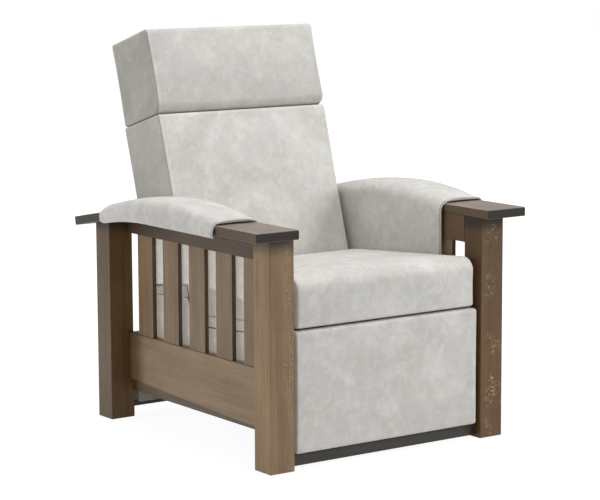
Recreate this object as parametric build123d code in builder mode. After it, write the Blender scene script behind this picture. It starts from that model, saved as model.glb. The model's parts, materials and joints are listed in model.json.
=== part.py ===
from build123d import *
import os
from math import asin, cos, degrees, radians, sin, sqrt, tan

os.makedirs("parts", exist_ok=True)

# The chair faces -Y, +X is to the right of someone who looks at its front, +Z is up.
# The origin is on the floor, in the middle of the space that the chair takes up.
# Lengths are millimetres and angles are degrees.

# Overall
overall_depth = 963.0
frame_width = 765.0
overrun = 40.0
soft_gap = 0.3
bed_gap = 0.5

# Posts
post_width = 75.0
post_depth = 73.0
posts_apart = 719.0
post_edge = 2.0
glide_radius = 13.0
glide_height = 3.0

# Bent arms
arm_underside = 604.5
arm_thickness = 24.5
arm_width = 132.5
arm_overhang = 26.0
arm_flat_run = 500.0
arm_bend_run = 200.0
arm_drop_angle = 10.5
arm_tail = 184.0
arm_corner = 5.0
arm_edge = 2.5

# Side rails and slats
rail_thickness = 19.0
rail_edge = 1.5
lower_rail_top = 249.0
lower_rail_front_low = 91.0
lower_rail_rear_low = 115.0
upper_rail_low = 533.0
slat_count = 5
slat_width = 77.0
slat_thickness = 12.0
slat_housing = 8.0
tenon_length = 25.0
tenon_thickness = 9.0
tenon_shoulder = 10.0

# Base
base_board_thickness = 19.0
base_board_low = 78.0
base_board_high = 190.0
toe_rail_setback = 25.0
toe_rail_thickness = 19.0
toe_rail_low = 8.5
toe_rail_high = 38.5
cross_rail_thickness = 22.0
cross_rail_high = 72.0
rear_rail_setback = 23.0
rear_rail_depth = 27.0
rear_rail_low = 28.0
rear_rail_height = 14.0
apron_thickness = 22.0
apron_high = 240.0

# Arm pads and the panels inside the arms
pad_front_setback = 164.0
pad_length = 577.0
pad_front_rise = 9.0
pad_crown_rise = 45.0
pad_rear_rise = 24.0
pad_crown_share = 0.42
pad_lip = 4.5
pad_lip_drop = 7.0
pad_inner_drop = 20.0
pad_roll = 18.0
panel_thickness = 11.5
panel_front_drop = 205.0
panel_crown_drop = 184.0
panel_rear_drop = 222.0

# Seat
seat_clearance = 3.0
seat_setback = 10.0
seat_front_high = 503.0
seat_front_low = 367.0
seat_fall_angle = 4.4
seat_crown = 9.0
seat_nose = 36.0
seat_side_round = 16.0
seat_draw = 3.0
seat_rail_thickness = 18.0
seat_cover_thickness = 4.0
seat_cover_run = 690.0
seat_cover_high = 361.0
seat_rail_low = 240.0
seat_rail_front = 44.0
front_rail_thickness = 22.0
front_rail_low = 326.0
rear_seat_rail_thickness = 20.0
rear_seat_rail_height = 62.0
corner_block_leg = 38.0
spring_wire = 3.6
spring_count = 4
spring_margin = 79.0
spring_reach = 36.0
spring_turn = 18.0
spring_turns = 12
spring_end = 12.0
spring_pad = 4.2

# Back
back_tilt = 16.5
back_foot_run = 563.0
back_foot_high = 460.0
back_inset = 9.0
back_thickness = 190.0
back_below_seat = 92.0
back_above_seat = 668.5
head_seam = 430.0
head_proud = 6.0
head_inset = 2.0
back_crown = 9.0
back_edge_round = 11.0
back_seam_gap = 1.0
stile_width = 56.0
stile_depth = 45.0
stile_cover = 9.0
back_front_foam = 124.0
back_top_foam = 42.0
back_rail_height = 60.0
strap_width = 50.0
strap_thickness = 2.0
strap_count = 4

# Mechanism, in layers from the side plates inwards
steel = 3.0
layer_pitch = 3.6
pivot_radius = 4.0
running_fit = 0.05
link_half_width = 11.0
head_radius = 7.5
head_height = 2.2
head_gap = 0.15
collar_radius = 8.0
collar_gap = 0.3

swing_length = 190.0
swing_lean = 20.0
swing_foot_high = 88.0
rear_swing_run = 560.0
front_swing_run = 370.0
cross_tube_radius = 9.0
mech_rail_height = 32.0
mech_rail_clearance = 2.7
mech_rail_end_gap = 4.0

back_hinge_run = 640.0
back_hinge_high = 285.0
back_lever_run = 50.0
back_lever_rise = 10.0
back_link_length = 180.0
back_link_lean = 8.0
back_link_play = 2.0
back_link_standoff = 4.4
back_bracket_neck = 8.0
back_bracket_margin = 3.0
back_bracket_height = 165.0
back_bolt_radius = 3.0
back_bolt_rise = 82.0
back_bolt_spacing = 60.0
nut_radius = 7.0
nut_height = 5.0

plate_corner = 12.0
plate_bolt_run = 250.0
plate_bolt_spacing = 115.0
plate_bolt_high = 290.0

# Footrest linkage, two pairs of parallel arms on each side
tilt_pivot_run = 74.0
tilt_pivot_high = 262.0
arm_fold_run = 256.0
arm_fold_drop = 167.0
swing_arm_run = 106.0
swing_arm_drop = 207.0
arm_pair_gap = 60.0
upper_arm_share = 0.22
torque_tube_radius = 11.0
torque_tube_bore = 8.5

# Footrest
footrest_setback = 5.0
footrest_clearance = 8.5
footrest_low = 43.0
footrest_high = 362.0
footrest_thickness = 32.0
footrest_board = 12.0
footrest_edge_cover = 4.0
footrest_crown = 5.0
footrest_round = 9.0
bracket_plate_high = 76.0
bracket_flange = 26.0

# Screws and bolts
screw_radius = 2.5
screw_head_radius = 5.5
screw_head_height = 3.0
screw_length = 14.0


# Places worked out from the sizes
half_width = frame_width / 2
post_inner = half_width - post_width
front_face = arm_overhang - overall_depth / 2
front_post_rear = front_face + post_depth
rear_post_front = front_post_rear + posts_apart
rear_post_rear = rear_post_front + post_depth
post_foot = glide_height
arm_tip = front_face - arm_overhang
bend_start = front_face + arm_flat_run
bend_radius = arm_bend_run / sin(radians(arm_drop_angle))
bend_end = bend_start + arm_bend_run
bend_end_high = arm_underside - bend_radius * (1 - cos(radians(arm_drop_angle)))
rail_mid = post_inner + rail_thickness / 2
board_inner = post_inner - base_board_thickness
pad_inner = post_inner - panel_thickness
seat_half_width = pad_inner - seat_clearance
back_half_width = seat_half_width - back_inset
footrest_half_width = post_inner - footrest_clearance


def run(distance):
    return front_face + distance


def arm_under(y):
    if y <= bend_start:
        return arm_underside
    if y <= bend_end:
        return arm_underside - bend_radius + sqrt(bend_radius**2 - (y - bend_start) ** 2)
    return bend_end_high - (y - bend_end) * tan(radians(arm_drop_angle))


def bow_line(lift, start, tail):
    level = arm_underside + lift
    flat = Line((start, level), (bend_start, level))
    bend = CenterArc(
        (bend_start, arm_underside - bend_radius), bend_radius + lift, 90, -arm_drop_angle
    )
    drop = PolarLine(bend @ 1, tail, -arm_drop_angle)
    return flat @ 0, drop @ 1


def write(piece, label):
    piece.part.label = label
    export_step(piece.part, f"parts/{label}.step")


def write_pair(piece, label):
    write(piece, f"{label}_right")
    with BuildPart() as twin:
        mirror(piece.part, about=Plane.YZ)
    write(twin, f"{label}_left")


# How far the bent line goes on past the bend to end at y
def tail_to(y, lift=0.0):
    turn = radians(arm_drop_angle)
    return (y - bend_start - (bend_radius + lift) * sin(turn)) / cos(turn)


# Posts, with a mortise for each rail's tenon
upper_tenon_high = arm_under(rear_post_front + tenon_length) - tenon_shoulder
upper_tenon = (upper_rail_low + tenon_shoulder, upper_tenon_high)
lower_tenon = (lower_rail_rear_low + tenon_shoulder, lower_rail_top - tenon_shoulder)


def cut_mortises(y_inner):
    for low, high in (upper_tenon, lower_tenon):
        with Locations((rail_mid, y_inner, (low + high) / 2)):
            Box(tenon_thickness, 2 * tenon_length, high - low, mode=Mode.SUBTRACT)


def make_post(y_low, y_high, y_inner):
    with BuildPart() as post:
        with BuildSketch(Plane.YZ.offset(post_inner)):
            with BuildLine():
                Polyline(
                    (y_low, post_foot),
                    (y_high, post_foot),
                    (y_high, arm_under(y_high)),
                    (y_low, arm_under(y_low)),
                    close=True,
                )
            make_face()
        extrude(amount=post_width)
        fillet(post.edges().filter_by(Axis.Z), radius=post_edge)
        cut_mortises(y_inner)
    return post


write_pair(make_post(front_face, front_post_rear, front_post_rear), "front_post")
write_pair(make_post(rear_post_front, rear_post_rear, rear_post_front), "rear_post")

with BuildPart() as floor_glides:
    for y in (front_face + post_depth / 2, rear_post_front + post_depth / 2):
        with BuildSketch() as glide_disc:
            with Locations((post_inner + post_width / 2, y)):
                Circle(glide_radius)
        extrude(amount=glide_height)
    mirror(about=Plane.YZ)
write(floor_glides, "floor_glides")

# Side rails, one straight and tapered, one curved on top to meet the arm
slat_gap = (posts_apart - slat_count * slat_width) / (slat_count + 1)
slat_places = [
    front_post_rear + slat_gap * (i + 1) + slat_width * (i + 0.5) for i in range(slat_count)
]
slat_low = lower_rail_top - slat_housing
slat_high = upper_rail_low + slat_housing


def add_tenons(low, high):
    with Locations((rail_mid, (front_post_rear + rear_post_front) / 2, (low + high) / 2)):
        Box(tenon_thickness, posts_apart + 2 * tenon_length, high - low)


def cut_slat_housings():
    for y in slat_places:
        with Locations((rail_mid, y, (slat_low + slat_high) / 2)):
            Box(slat_thickness, slat_width, slat_high - slat_low, mode=Mode.SUBTRACT)


with BuildPart() as lower_side_rail:
    with BuildSketch(Plane.YZ.offset(post_inner)):
        with BuildLine():
            Polyline(
                (front_post_rear, lower_rail_front_low),
                (rear_post_front, lower_rail_rear_low),
                (rear_post_front, lower_rail_top),
                (front_post_rear, lower_rail_top),
                close=True,
            )
        make_face()
    extrude(amount=rail_thickness)
    long_edges = lower_side_rail.edges().filter_by(lambda e: e.length > posts_apart - rail_edge)
    fillet(long_edges, radius=rail_edge)
    add_tenons(*lower_tenon)
    cut_slat_housings()
write_pair(lower_side_rail, "lower_side_rail")

with BuildPart() as upper_side_rail:
    with BuildSketch(Plane.YZ.offset(post_inner)):
        with BuildLine():
            top_front, top_rear = bow_line(0, front_post_rear, tail_to(rear_post_front))
            Polyline(
                top_rear,
                (rear_post_front, upper_rail_low),
                (front_post_rear, upper_rail_low),
                top_front,
            )
        make_face()
    extrude(amount=rail_thickness)
    low_edges = upper_side_rail.edges().group_by(Axis.Z)[0].filter_by(Axis.Y)
    fillet(low_edges, radius=rail_edge)
    add_tenons(*upper_tenon)
    cut_slat_housings()
write_pair(upper_side_rail, "upper_side_rail")

with BuildPart() as side_slats:
    for y in slat_places:
        with Locations((rail_mid, y, (slat_low + slat_high) / 2)):
            Box(slat_thickness, slat_width, slat_high - slat_low)
write_pair(side_slats, "side_slats")

# Bent arm boards
with BuildPart() as bow_arm:
    with BuildSketch(Plane.YZ.offset(post_inner)):
        with BuildLine():
            low_front, low_rear = bow_line(0, arm_tip, arm_tail)
            high_front, high_rear = bow_line(arm_thickness, arm_tip, arm_tail)
            Line(low_front, high_front)
            Line(low_rear, high_rear)
        make_face()
    extrude(amount=arm_width)
    ends = bow_arm.faces().sort_by(Axis.Y)
    corners = ends[0].edges().filter_by(Axis.Z) + ends[-1].edges().filter_by(
        lambda e: abs((e % 0.5).X) < running_fit
    )
    fillet(corners, radius=arm_corner)
    rims = bow_arm.faces().filter_by(Axis.Z).sort_by(Axis.Z)
    fillet(rims[-1].edges().filter_by(Axis.Y) + rims[0].edges().filter_by(Axis.Y), arm_edge)
write_pair(bow_arm, "bow_arm")

# Base boards and cross rails
toe_face = run(toe_rail_setback)
cross_face = toe_face + toe_rail_thickness
front_cross_rear = cross_face + cross_rail_thickness
apron_front = rear_post_front + rear_rail_setback
rear_cross_front = apron_front - cross_rail_thickness

mech_outer = seat_half_width - seat_cover_thickness - seat_rail_thickness
mech_rail_inner = mech_outer - steel - 2 * layer_pitch
flange = (mech_rail_inner + steel, board_inner - mech_rail_clearance)
screw_x = (flange[0] + flange[1]) / 2
rail_screw_places = [
    (screw_x, cross_face + cross_rail_thickness / 2),
    (screw_x, apron_front - cross_rail_thickness / 2),
]


def box_between(x, y, z, mode=Mode.ADD):
    with Locations(((x[0] + x[1]) / 2, (y[0] + y[1]) / 2, (z[0] + z[1]) / 2)):
        Box(x[1] - x[0], y[1] - y[0], z[1] - z[0], mode=mode)


def cut_rail_screws():
    for x, y in rail_screw_places:
        for side in (x, -x):
            with Locations((side, y, cross_rail_high - screw_length / 2)):
                Cylinder(screw_radius, screw_length, mode=Mode.SUBTRACT)


between_posts = (-post_inner, post_inner)

with BuildPart() as front_toe_rail:
    box_between(between_posts, (toe_face, cross_face), (toe_rail_low, toe_rail_high))
    fillet(front_toe_rail.edges().group_by(Axis.Y)[0].filter_by(Axis.X), rail_edge)
write(front_toe_rail, "front_toe_rail")

with BuildPart() as front_cross_rail:
    box_between(between_posts, (cross_face, front_cross_rear), (toe_rail_low, cross_rail_high))
    cut_rail_screws()
write(front_cross_rail, "front_cross_rail")

with BuildPart() as rear_cross_rail:
    low = rear_rail_low + rear_rail_height
    box_between((-board_inner, board_inner), (rear_cross_front, apron_front), (low, cross_rail_high))
    cut_rail_screws()
write(rear_cross_rail, "rear_cross_rail")

with BuildPart() as rear_base_rail:
    rear_rail_front = apron_front - (rear_rail_depth - apron_thickness)
    low_strip = (rear_rail_low, rear_rail_low + rear_rail_height)
    box_between(between_posts, (rear_rail_front, apron_front + apron_thickness), low_strip)
write(rear_base_rail, "rear_base_rail")

with BuildPart() as rear_apron:
    high_strip = (rear_rail_low + rear_rail_height, apron_high)
    box_between(between_posts, (apron_front, apron_front + apron_thickness), high_strip)
    fillet(rear_apron.edges().group_by(Axis.Z)[-1].filter_by(Axis.X), rail_edge)
write(rear_apron, "rear_apron")

with BuildPart() as base_side_board:
    board_run = (cross_face, apron_front)
    box_between((board_inner, post_inner), board_run, (base_board_low, base_board_high))
write_pair(base_side_board, "base_side_board")

# Arm pads, which wrap the board, and the panels that hang inside the arms
pad_front = run(pad_front_setback)
pad_rear = pad_front + pad_length
pad_outer = post_inner + arm_width + soft_gap + pad_lip
pad_bed = arm_thickness + soft_gap


def pad_outline(lift):
    low_front, low_rear = bow_line(lift, pad_front, tail_to(pad_rear, lift))
    crown_at = pad_front + pad_crown_share * pad_length
    front_top = (pad_front, arm_underside + arm_thickness + pad_front_rise)
    crown_top = (crown_at, arm_underside + arm_thickness + pad_crown_rise)
    rear_top = (pad_rear, arm_under(pad_rear) + arm_thickness + pad_rear_rise)
    Line(low_front, front_top)
    ThreePointArc(front_top, crown_top, rear_top)
    Line(rear_top, low_rear)


with BuildPart() as arm_pad:
    with BuildSketch(Plane.YZ.offset(pad_inner)):
        with BuildLine():
            pad_outline(pad_bed)
        make_face()
    extrude(amount=pad_outer - pad_inner)
    with BuildSketch(Plane.YZ.offset(pad_outer - pad_lip)):
        with BuildLine():
            pad_outline(-pad_lip_drop)
        make_face()
    extrude(amount=pad_lip)
    with BuildSketch(Plane.YZ.offset(pad_inner)):
        with BuildLine():
            pad_outline(-pad_inner_drop)
        make_face()
    extrude(amount=panel_thickness - soft_gap)
    roof = arm_pad.faces().sort_by(Axis.Z)[-1]
    fillet(roof.edges().sort_by(Axis.Y)[1:], radius=pad_roll)
write_pair(arm_pad, "arm_pad")

with BuildPart() as inner_arm_panel:
    with BuildSketch(Plane.YZ.offset(pad_inner)):
        with BuildLine():
            panel_lift = -pad_inner_drop - soft_gap
            panel_tail = tail_to(pad_rear, panel_lift)
            top_front, top_rear = bow_line(panel_lift, pad_front, panel_tail)
            front_low = (pad_front, arm_underside - panel_front_drop)
            mid_low = ((pad_front + pad_rear) / 2, arm_underside - panel_crown_drop)
            rear_low = (top_rear.X, arm_underside - panel_rear_drop)
            Line(top_front, front_low)
            ThreePointArc(front_low, mid_low, rear_low)
            Line(rear_low, top_rear)
        make_face()
    extrude(amount=panel_thickness - soft_gap)
write_pair(inner_arm_panel, "inner_arm_panel")

# Seat cushion, crowned, with drawn-in sides and a rolled front edge
seat_front = run(seat_setback)
seat_fall = tan(radians(seat_fall_angle))
back_foot = (run(back_foot_run), back_foot_high)


def seat_under(y, drop=0.0):
    return seat_front_low - (y - seat_front) * seat_fall - drop


def seat_over(y):
    return seat_front_high - (y - seat_front) * seat_fall


# Where the seat's slope, at its height over the front face, meets the front of the back
def meet_back(front_level):
    slope = tan(radians(back_tilt))
    reach = back_foot[0] - soft_gap - back_crown - seat_front
    y = (reach + (front_level - back_foot[1]) * slope) / (1 + seat_fall * slope)
    return seat_front + y, front_level - y * seat_fall


seat_rear_face = (meet_back(seat_front_low), meet_back(seat_front_high))
seat_rear_low = seat_rear_face[0][1]
seat_rail_front_y = run(seat_rail_front)
seat_rail_rear = seat_rear_face[0][0]
seat_rail_outer = seat_half_width - seat_cover_thickness
seat_middle = (seat_front + seat_rear_face[1][0]) / 2

with BuildPart() as seat_cushion:
    with BuildSketch(Plane.YZ):
        with BuildLine():
            crown_point = (seat_middle, seat_over(seat_middle) + seat_crown)
            front_bottom = (seat_front, seat_under(seat_front))
            front_top = (seat_front, seat_over(seat_front))
            Line(front_bottom, front_top)
            ThreePointArc(front_top, crown_point, seat_rear_face[1])
            Line(seat_rear_face[1], seat_rear_face[0])
            Line(seat_rear_face[0], front_bottom)
        make_face()
    extrude(amount=seat_half_width, both=True)
    with BuildSketch(Plane.XY.offset(seat_rear_low - overrun)):
        with BuildLine():
            near, far = seat_front - seat_draw, seat_rear_face[1][0] + overrun
            left_near, right_near = (-seat_half_width, near), (seat_half_width, near)
            left_far, right_far = (-seat_half_width, far), (seat_half_width, far)
            Line(left_near, right_near)
            ThreePointArc(right_near, (seat_half_width - seat_draw, seat_middle), right_far)
            Line(right_far, left_far)
            ThreePointArc(left_far, (seat_draw - seat_half_width, seat_middle), left_near)
        make_face()
    extrude(amount=seat_front_high - seat_rear_low + 3 * overrun, mode=Mode.INTERSECT)
    seat_roof = seat_cushion.faces().sort_by(Axis.Z)[-1]
    nose = seat_roof.edges().sort_by(Axis.Y)[0]
    fillet(nose, radius=seat_nose)
    seat_roof = seat_cushion.faces().sort_by(Axis.Z)[-1]
    seat_sides = seat_roof.edges().sort_by(Axis.X)
    fillet([seat_sides[0], seat_sides[-1]], radius=seat_side_round)
write(seat_cushion, "seat_cushion")

# Seat frame
front_rail_rear = seat_rail_front_y + front_rail_thickness
rear_rail_front = seat_rail_rear - rear_seat_rail_thickness
spring_bed_drop = bed_gap + spring_pad + spring_wire


def side_profile(front, rear, low, drop):
    Polyline(
        (front, low),
        (rear, low),
        (rear, seat_under(rear, drop)),
        (front, seat_under(front, drop)),
        close=True,
    )


plate_bolt_places = [
    (run(plate_bolt_run + i * plate_bolt_spacing), plate_bolt_high) for i in range(3)
]

with BuildPart() as seat_side_rail:
    with BuildSketch(Plane.YZ.offset(mech_outer)):
        with BuildLine():
            side_profile(seat_rail_front_y, seat_rail_rear, seat_rail_low, bed_gap)
        make_face()
        with Locations(*plate_bolt_places):
            Circle(screw_radius, mode=Mode.SUBTRACT)
    extrude(amount=seat_rail_thickness)
write_pair(seat_side_rail, "seat_side_rail")

# The covers run on behind the seat's rail, past the outside of the back
with BuildPart() as seat_side_covers:
    rear_low, rear_high = seat_rear_face
    lean = (rear_high[0] - rear_low[0]) / (rear_high[1] - rear_low[1])
    step_y = seat_rail_rear + bed_gap + (seat_cover_high - rear_low[1]) * lean
    cover_rear = run(seat_cover_run)
    with BuildSketch(Plane.YZ.offset(seat_rail_outer)):
        with BuildLine():
            Polyline(
                (seat_rail_front_y, seat_rail_low),
                (cover_rear, seat_rail_low),
                (cover_rear, seat_cover_high - (cover_rear - step_y) * seat_fall),
                (step_y, seat_cover_high),
                (seat_rail_rear + bed_gap, seat_under(seat_rail_rear, bed_gap)),
                (seat_rail_front_y, seat_under(seat_rail_front_y, bed_gap)),
                close=True,
            )
        make_face()
    extrude(amount=seat_cover_thickness)
    mirror(about=Plane.YZ)
write(seat_side_covers, "seat_side_covers")

with BuildPart() as seat_front_rail:
    with BuildSketch(Plane.YZ):
        with BuildLine():
            side_profile(seat_rail_front_y, front_rail_rear, front_rail_low, spring_bed_drop)
        make_face()
    extrude(amount=mech_outer, both=True)
write(seat_front_rail, "seat_front_rail")

with BuildPart() as seat_rear_rail:
    rear_rail_low_z = seat_under(seat_rail_rear, spring_bed_drop) - rear_seat_rail_height
    with BuildSketch(Plane.YZ):
        with BuildLine():
            side_profile(rear_rail_front, seat_rail_rear, rear_rail_low_z, spring_bed_drop)
        make_face()
    extrude(amount=mech_outer - steel, both=True)
write(seat_rear_rail, "seat_rear_rail")

with BuildPart() as seat_corner_blocks:
    block_high = seat_under(front_rail_rear + corner_block_leg, spring_bed_drop)
    with BuildSketch(Plane.XY.offset(front_rail_low)):
        with BuildLine():
            Polyline(
                (mech_outer, front_rail_rear),
                (mech_outer, front_rail_rear + corner_block_leg),
                (mech_outer - corner_block_leg, front_rail_rear),
                close=True,
            )
        make_face()
    extrude(amount=block_high - front_rail_low)
    mirror(about=Plane.YZ)
write(seat_corner_blocks, "seat_corner_blocks")

# Springs lie on the front and rear seat rails, with a felt pad between them and the cushion
spring_low = seat_under(seat_rail_front_y, spring_bed_drop)
spring_plane = Plane(
    origin=(0, seat_rail_front_y, spring_low),
    x_dir=(1, 0, 0),
    z_dir=(0, sin(radians(seat_fall_angle)), cos(radians(seat_fall_angle))),
)
spring_run = (seat_rail_rear - seat_rail_front_y) / cos(radians(seat_fall_angle))
spring_pitch = (spring_run - 2 * spring_end) / spring_turns
spring_spacing = 2 * (mech_outer - spring_margin) / (spring_count - 1)

with BuildPart() as seat_springs:
    with BuildSketch(spring_plane):
        for i in range(spring_count):
            middle = (i - (spring_count - 1) / 2) * spring_spacing
            with BuildLine() as wave:
                for turn in range(spring_turns):
                    side = 1 if turn % 2 == 0 else -1
                    y = spring_end + turn * spring_pitch
                    inner, outer = side * (spring_reach - spring_turn), side * spring_reach
                    Line((middle - inner, y), (middle + inner, y))
                    ThreePointArc(
                        (middle + inner, y),
                        (middle + outer, y + spring_pitch / 2),
                        (middle + inner, y + spring_pitch),
                    )
            trace(wave.edges(), line_width=spring_wire)
    extrude(amount=spring_wire)
write(seat_springs, "seat_springs")

with BuildPart() as spring_cover_pad:
    with BuildSketch(spring_plane.offset(spring_wire)):
        with Locations((0, spring_run / 2)):
            Rectangle(2 * mech_outer - 2 * soft_gap, spring_run)
    extrude(amount=spring_pad)
write(spring_cover_pad, "spring_cover_pad")

# Back, on its own tilted plane: x is across, y is up the back and z is forward
back_plane = Plane(
    origin=(0, back_foot[0], back_foot[1]),
    x_dir=(1, 0, 0),
    z_dir=(0, -cos(radians(back_tilt)), sin(radians(back_tilt))),
)
back_section = Plane(
    origin=back_plane.origin, x_dir=back_plane.y_dir, z_dir=back_plane.x_dir
)
strap_front = -back_front_foam
frame_front = strap_front - strap_thickness
frame_rear = frame_front - stile_depth
stile_outer = back_half_width - stile_cover
stile_inner = stile_outer - stile_width
frame_top = back_above_seat - back_top_foam
back_bottom = -back_below_seat


# A boxed pad from low to high up the back, crowned in front, with a pocket for the frame
def back_pad(low, high, half, proud, crown):
    with BuildPart() as pad:
        with BuildSketch(back_section):
            with BuildLine():
                rear = -back_thickness
                front_low, front_high = (low, proud), (high, proud)
                Line((low, rear), front_low)
                ThreePointArc(front_low, ((low + high) / 2, proud + crown), front_high)
                Line(front_high, (high, rear))
                Line((high, rear), (low, rear))
            make_face()
        extrude(amount=half, both=True)
        with BuildSketch(back_plane.offset(rear - overrun)):
            with Locations((0, (low + high) / 2)):
                Rectangle(2 * half, high - low)
        extrude(amount=back_thickness + 2 * overrun, mode=Mode.INTERSECT)
        face = pad.faces().sort_by(Axis.Y)[0]
        fillet(face.edges(), radius=back_edge_round)
        pocket_depth = strap_thickness + stile_depth + 2 * soft_gap
        pocket_low, pocket_high = low - overrun, min(high + overrun, frame_top + soft_gap)
        with BuildSketch(back_plane.offset(strap_front + soft_gap)):
            with Locations((0, (pocket_low + pocket_high) / 2)):
                Rectangle(2 * (stile_outer + soft_gap), pocket_high - pocket_low)
        extrude(amount=-pocket_depth, mode=Mode.SUBTRACT)
    return pad


lower_back_cushion = back_pad(
    back_bottom, head_seam - back_seam_gap, back_half_width, 0, back_crown
)
write(lower_back_cushion, "lower_back_cushion")
headrest_cushion = back_pad(
    head_seam, back_above_seat, back_half_width - head_inset, head_proud, back_crown / 2
)
write(headrest_cushion, "headrest_cushion")

bracket_inner = mech_outer + layer_pitch - steel
bracket_outer = bracket_inner + steel
stile_foot = back_bottom
stile_middle = frame_rear + stile_depth / 2
back_bolt_places = [
    (stile_foot + back_bolt_rise + i * back_bolt_spacing, stile_middle) for i in range(2)
]


# A turned rod along X, its place given on the plane that its pieces are drawn on
def rod(plane, place, start, end, radius, mode=Mode.ADD):
    centre = plane.from_local_coords((place[0], place[1], (start + end) / 2))
    with Locations(Location(tuple(centre), (0, 90, 0))):
        Cylinder(radius, abs(end - start), mode=mode)


with BuildPart() as back_stiles:
    with BuildSketch(back_plane.offset(frame_rear)):
        with Locations(((stile_inner + bracket_inner) / 2, (stile_foot + frame_top) / 2)):
            Rectangle(bracket_inner - stile_inner, frame_top - stile_foot)
    extrude(amount=stile_depth)
    for place in back_bolt_places:
        rod(back_section, place, stile_inner, bracket_inner, back_bolt_radius, Mode.SUBTRACT)
    mirror(about=Plane.YZ)
write(back_stiles, "back_stiles")

back_rail_places = [
    stile_foot + back_rail_height / 2,
    (stile_foot + frame_top) / 2,
    frame_top - back_rail_height / 2,
]

with BuildPart() as back_rails:
    with BuildSketch(back_plane.offset(frame_rear)):
        with Locations(*[(0, place) for place in back_rail_places]):
            Rectangle(2 * stile_inner, back_rail_height)
    extrude(amount=stile_depth)
write(back_rails, "back_rails")

strap_span = back_rail_places[-1] - back_rail_places[0] - back_rail_height
strap_places = [
    (-0.5 + (i + 1) / (strap_count + 1)) * strap_span + (back_rail_places[0] + back_rail_places[-1]) / 2
    for i in range(strap_count)
]

with BuildPart() as back_straps:
    with BuildSketch(back_plane.offset(frame_front)):
        for place in strap_places:
            with Locations((0, place)):
                Rectangle(2 * bracket_inner, strap_width)
    extrude(amount=strap_thickness)
write(back_straps, "back_straps")

with BuildPart() as back_bolts:
    for place in back_bolt_places:
        rod(back_section, place, stile_inner - nut_height, bracket_outer, back_bolt_radius)
        rod(back_section, place, stile_inner - nut_height, stile_inner, nut_radius)
    mirror(about=Plane.YZ)
write(back_bolts, "back_bolts")

# Mechanism places, as run and height
plate_inner = mech_outer - steel


def layer(number):
    return plate_inner - number * layer_pitch


def polar(length, angle):
    return length * cos(radians(angle)), length * sin(radians(angle))


def shifted(place, move, share=1.0):
    return place[0] + share * move[0], place[1] + share * move[1]


swing = polar(swing_length, 90 - swing_lean)
rear_foot = (run(rear_swing_run), swing_foot_high)
front_foot = (run(front_swing_run), swing_foot_high)
rear_head = shifted(rear_foot, swing)
front_head = shifted(front_foot, swing)
cross_tube_place = shifted(rear_foot, swing, 1 / 2)

back_hinge = (run(back_hinge_run), back_hinge_high)
back_lever = shifted(back_hinge, (back_lever_run, back_lever_rise))
back_link_foot = shifted(back_lever, polar(back_link_length, 90 - back_link_lean), -1)

tilt_pivot = (run(tilt_pivot_run), tilt_pivot_high)
knee = shifted(tilt_pivot, (arm_fold_run, -arm_fold_drop))
swing_arm = (swing_arm_run, -swing_arm_drop)
fold = (-arm_fold_run, arm_fold_drop)
pair_share = arm_pair_gap / sqrt(arm_fold_run**2 + arm_fold_drop**2)
shoulder = shifted(knee, swing_arm, -1)
front_shoulder = shifted(shoulder, fold, pair_share)
front_knee = shifted(knee, fold, pair_share)
upper_knee = shifted(knee, swing_arm, -upper_arm_share)
upper_tilt_pivot = shifted(tilt_pivot, swing_arm, -upper_arm_share)
open_fit = running_fit + head_gap
bore = pivot_radius + running_fit


def stud(place, start, end):
    rod(Plane.YZ, place, start, end, pivot_radius)
    way = 1 if end > start else -1
    rod(Plane.YZ, place, end, end + way * head_height, head_radius)


# A flat steel link through its pivots, each given with the radius of its bore
def make_link(low, pivots):
    with BuildPart() as link:
        with BuildSketch(Plane.YZ.offset(low)):
            for place, hole in pivots:
                with Locations(place):
                    Circle(link_half_width)
            make_hull()
            for place, hole in pivots:
                with Locations(place):
                    Circle(hole, mode=Mode.SUBTRACT)
        extrude(amount=steel)
    return link


# Rails of the mechanism, L-shaped, screwed to the cross rails
with BuildPart() as mechanism_rails:
    rail_span = (cross_face + mech_rail_end_gap, apron_front - mech_rail_end_gap)
    leg = (layer(2), layer(2) + steel)
    box_between(leg, rail_span, (cross_rail_high, cross_rail_high + mech_rail_height))
    box_between(flange, rail_span, (cross_rail_high, cross_rail_high + steel))
    for place in (rear_foot, front_foot):
        rod(Plane.YZ, place, leg[0], leg[1], pivot_radius, Mode.SUBTRACT)
    for x, y in rail_screw_places:
        with Locations((x, y, cross_rail_high + steel / 2)):
            Cylinder(screw_radius, steel, mode=Mode.SUBTRACT)
    mirror(about=Plane.YZ)
write(mechanism_rails, "mechanism_rails")

with BuildPart() as rail_screws:
    for x, y in rail_screw_places:
        with Locations((x, y, cross_rail_high + (steel - screw_length) / 2)):
            Cylinder(screw_radius, screw_length + steel)
        with Locations((x, y, cross_rail_high + steel + screw_head_height / 2)):
            Cylinder(screw_head_radius, screw_head_height)
    mirror(about=Plane.YZ)
write(rail_screws, "rail_screws")

with BuildPart() as swing_studs:
    for place in (rear_foot, front_foot):
        stud(place, leg[0], layer(1) + steel + head_gap)
    mirror(about=Plane.YZ)
write(swing_studs, "swing_studs")

# Brackets on the base boards that carry the back links
back_link_low = bracket_outer + back_link_standoff

with BuildPart() as link_brackets:
    with BuildSketch(Plane.YZ.offset(board_inner - steel)):
        with Locations(back_link_foot):
            Circle(2 * link_half_width)
    extrude(amount=steel)
    link_face = back_link_low + steel + collar_gap
    rod(Plane.YZ, back_link_foot, link_face, board_inner - steel, collar_radius)
    stud(back_link_foot, board_inner, back_link_low - head_gap)
    mirror(about=Plane.YZ)
write(link_brackets, "link_brackets")

# Swing links that carry the seat, the rear two joined by a tube
front_swing = make_link(layer(1), [(front_foot, bore), (front_head, bore)])
with BuildPart() as front_links:
    add(front_swing.part)
    mirror(about=Plane.YZ)
write(front_links, "front_links")

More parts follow.
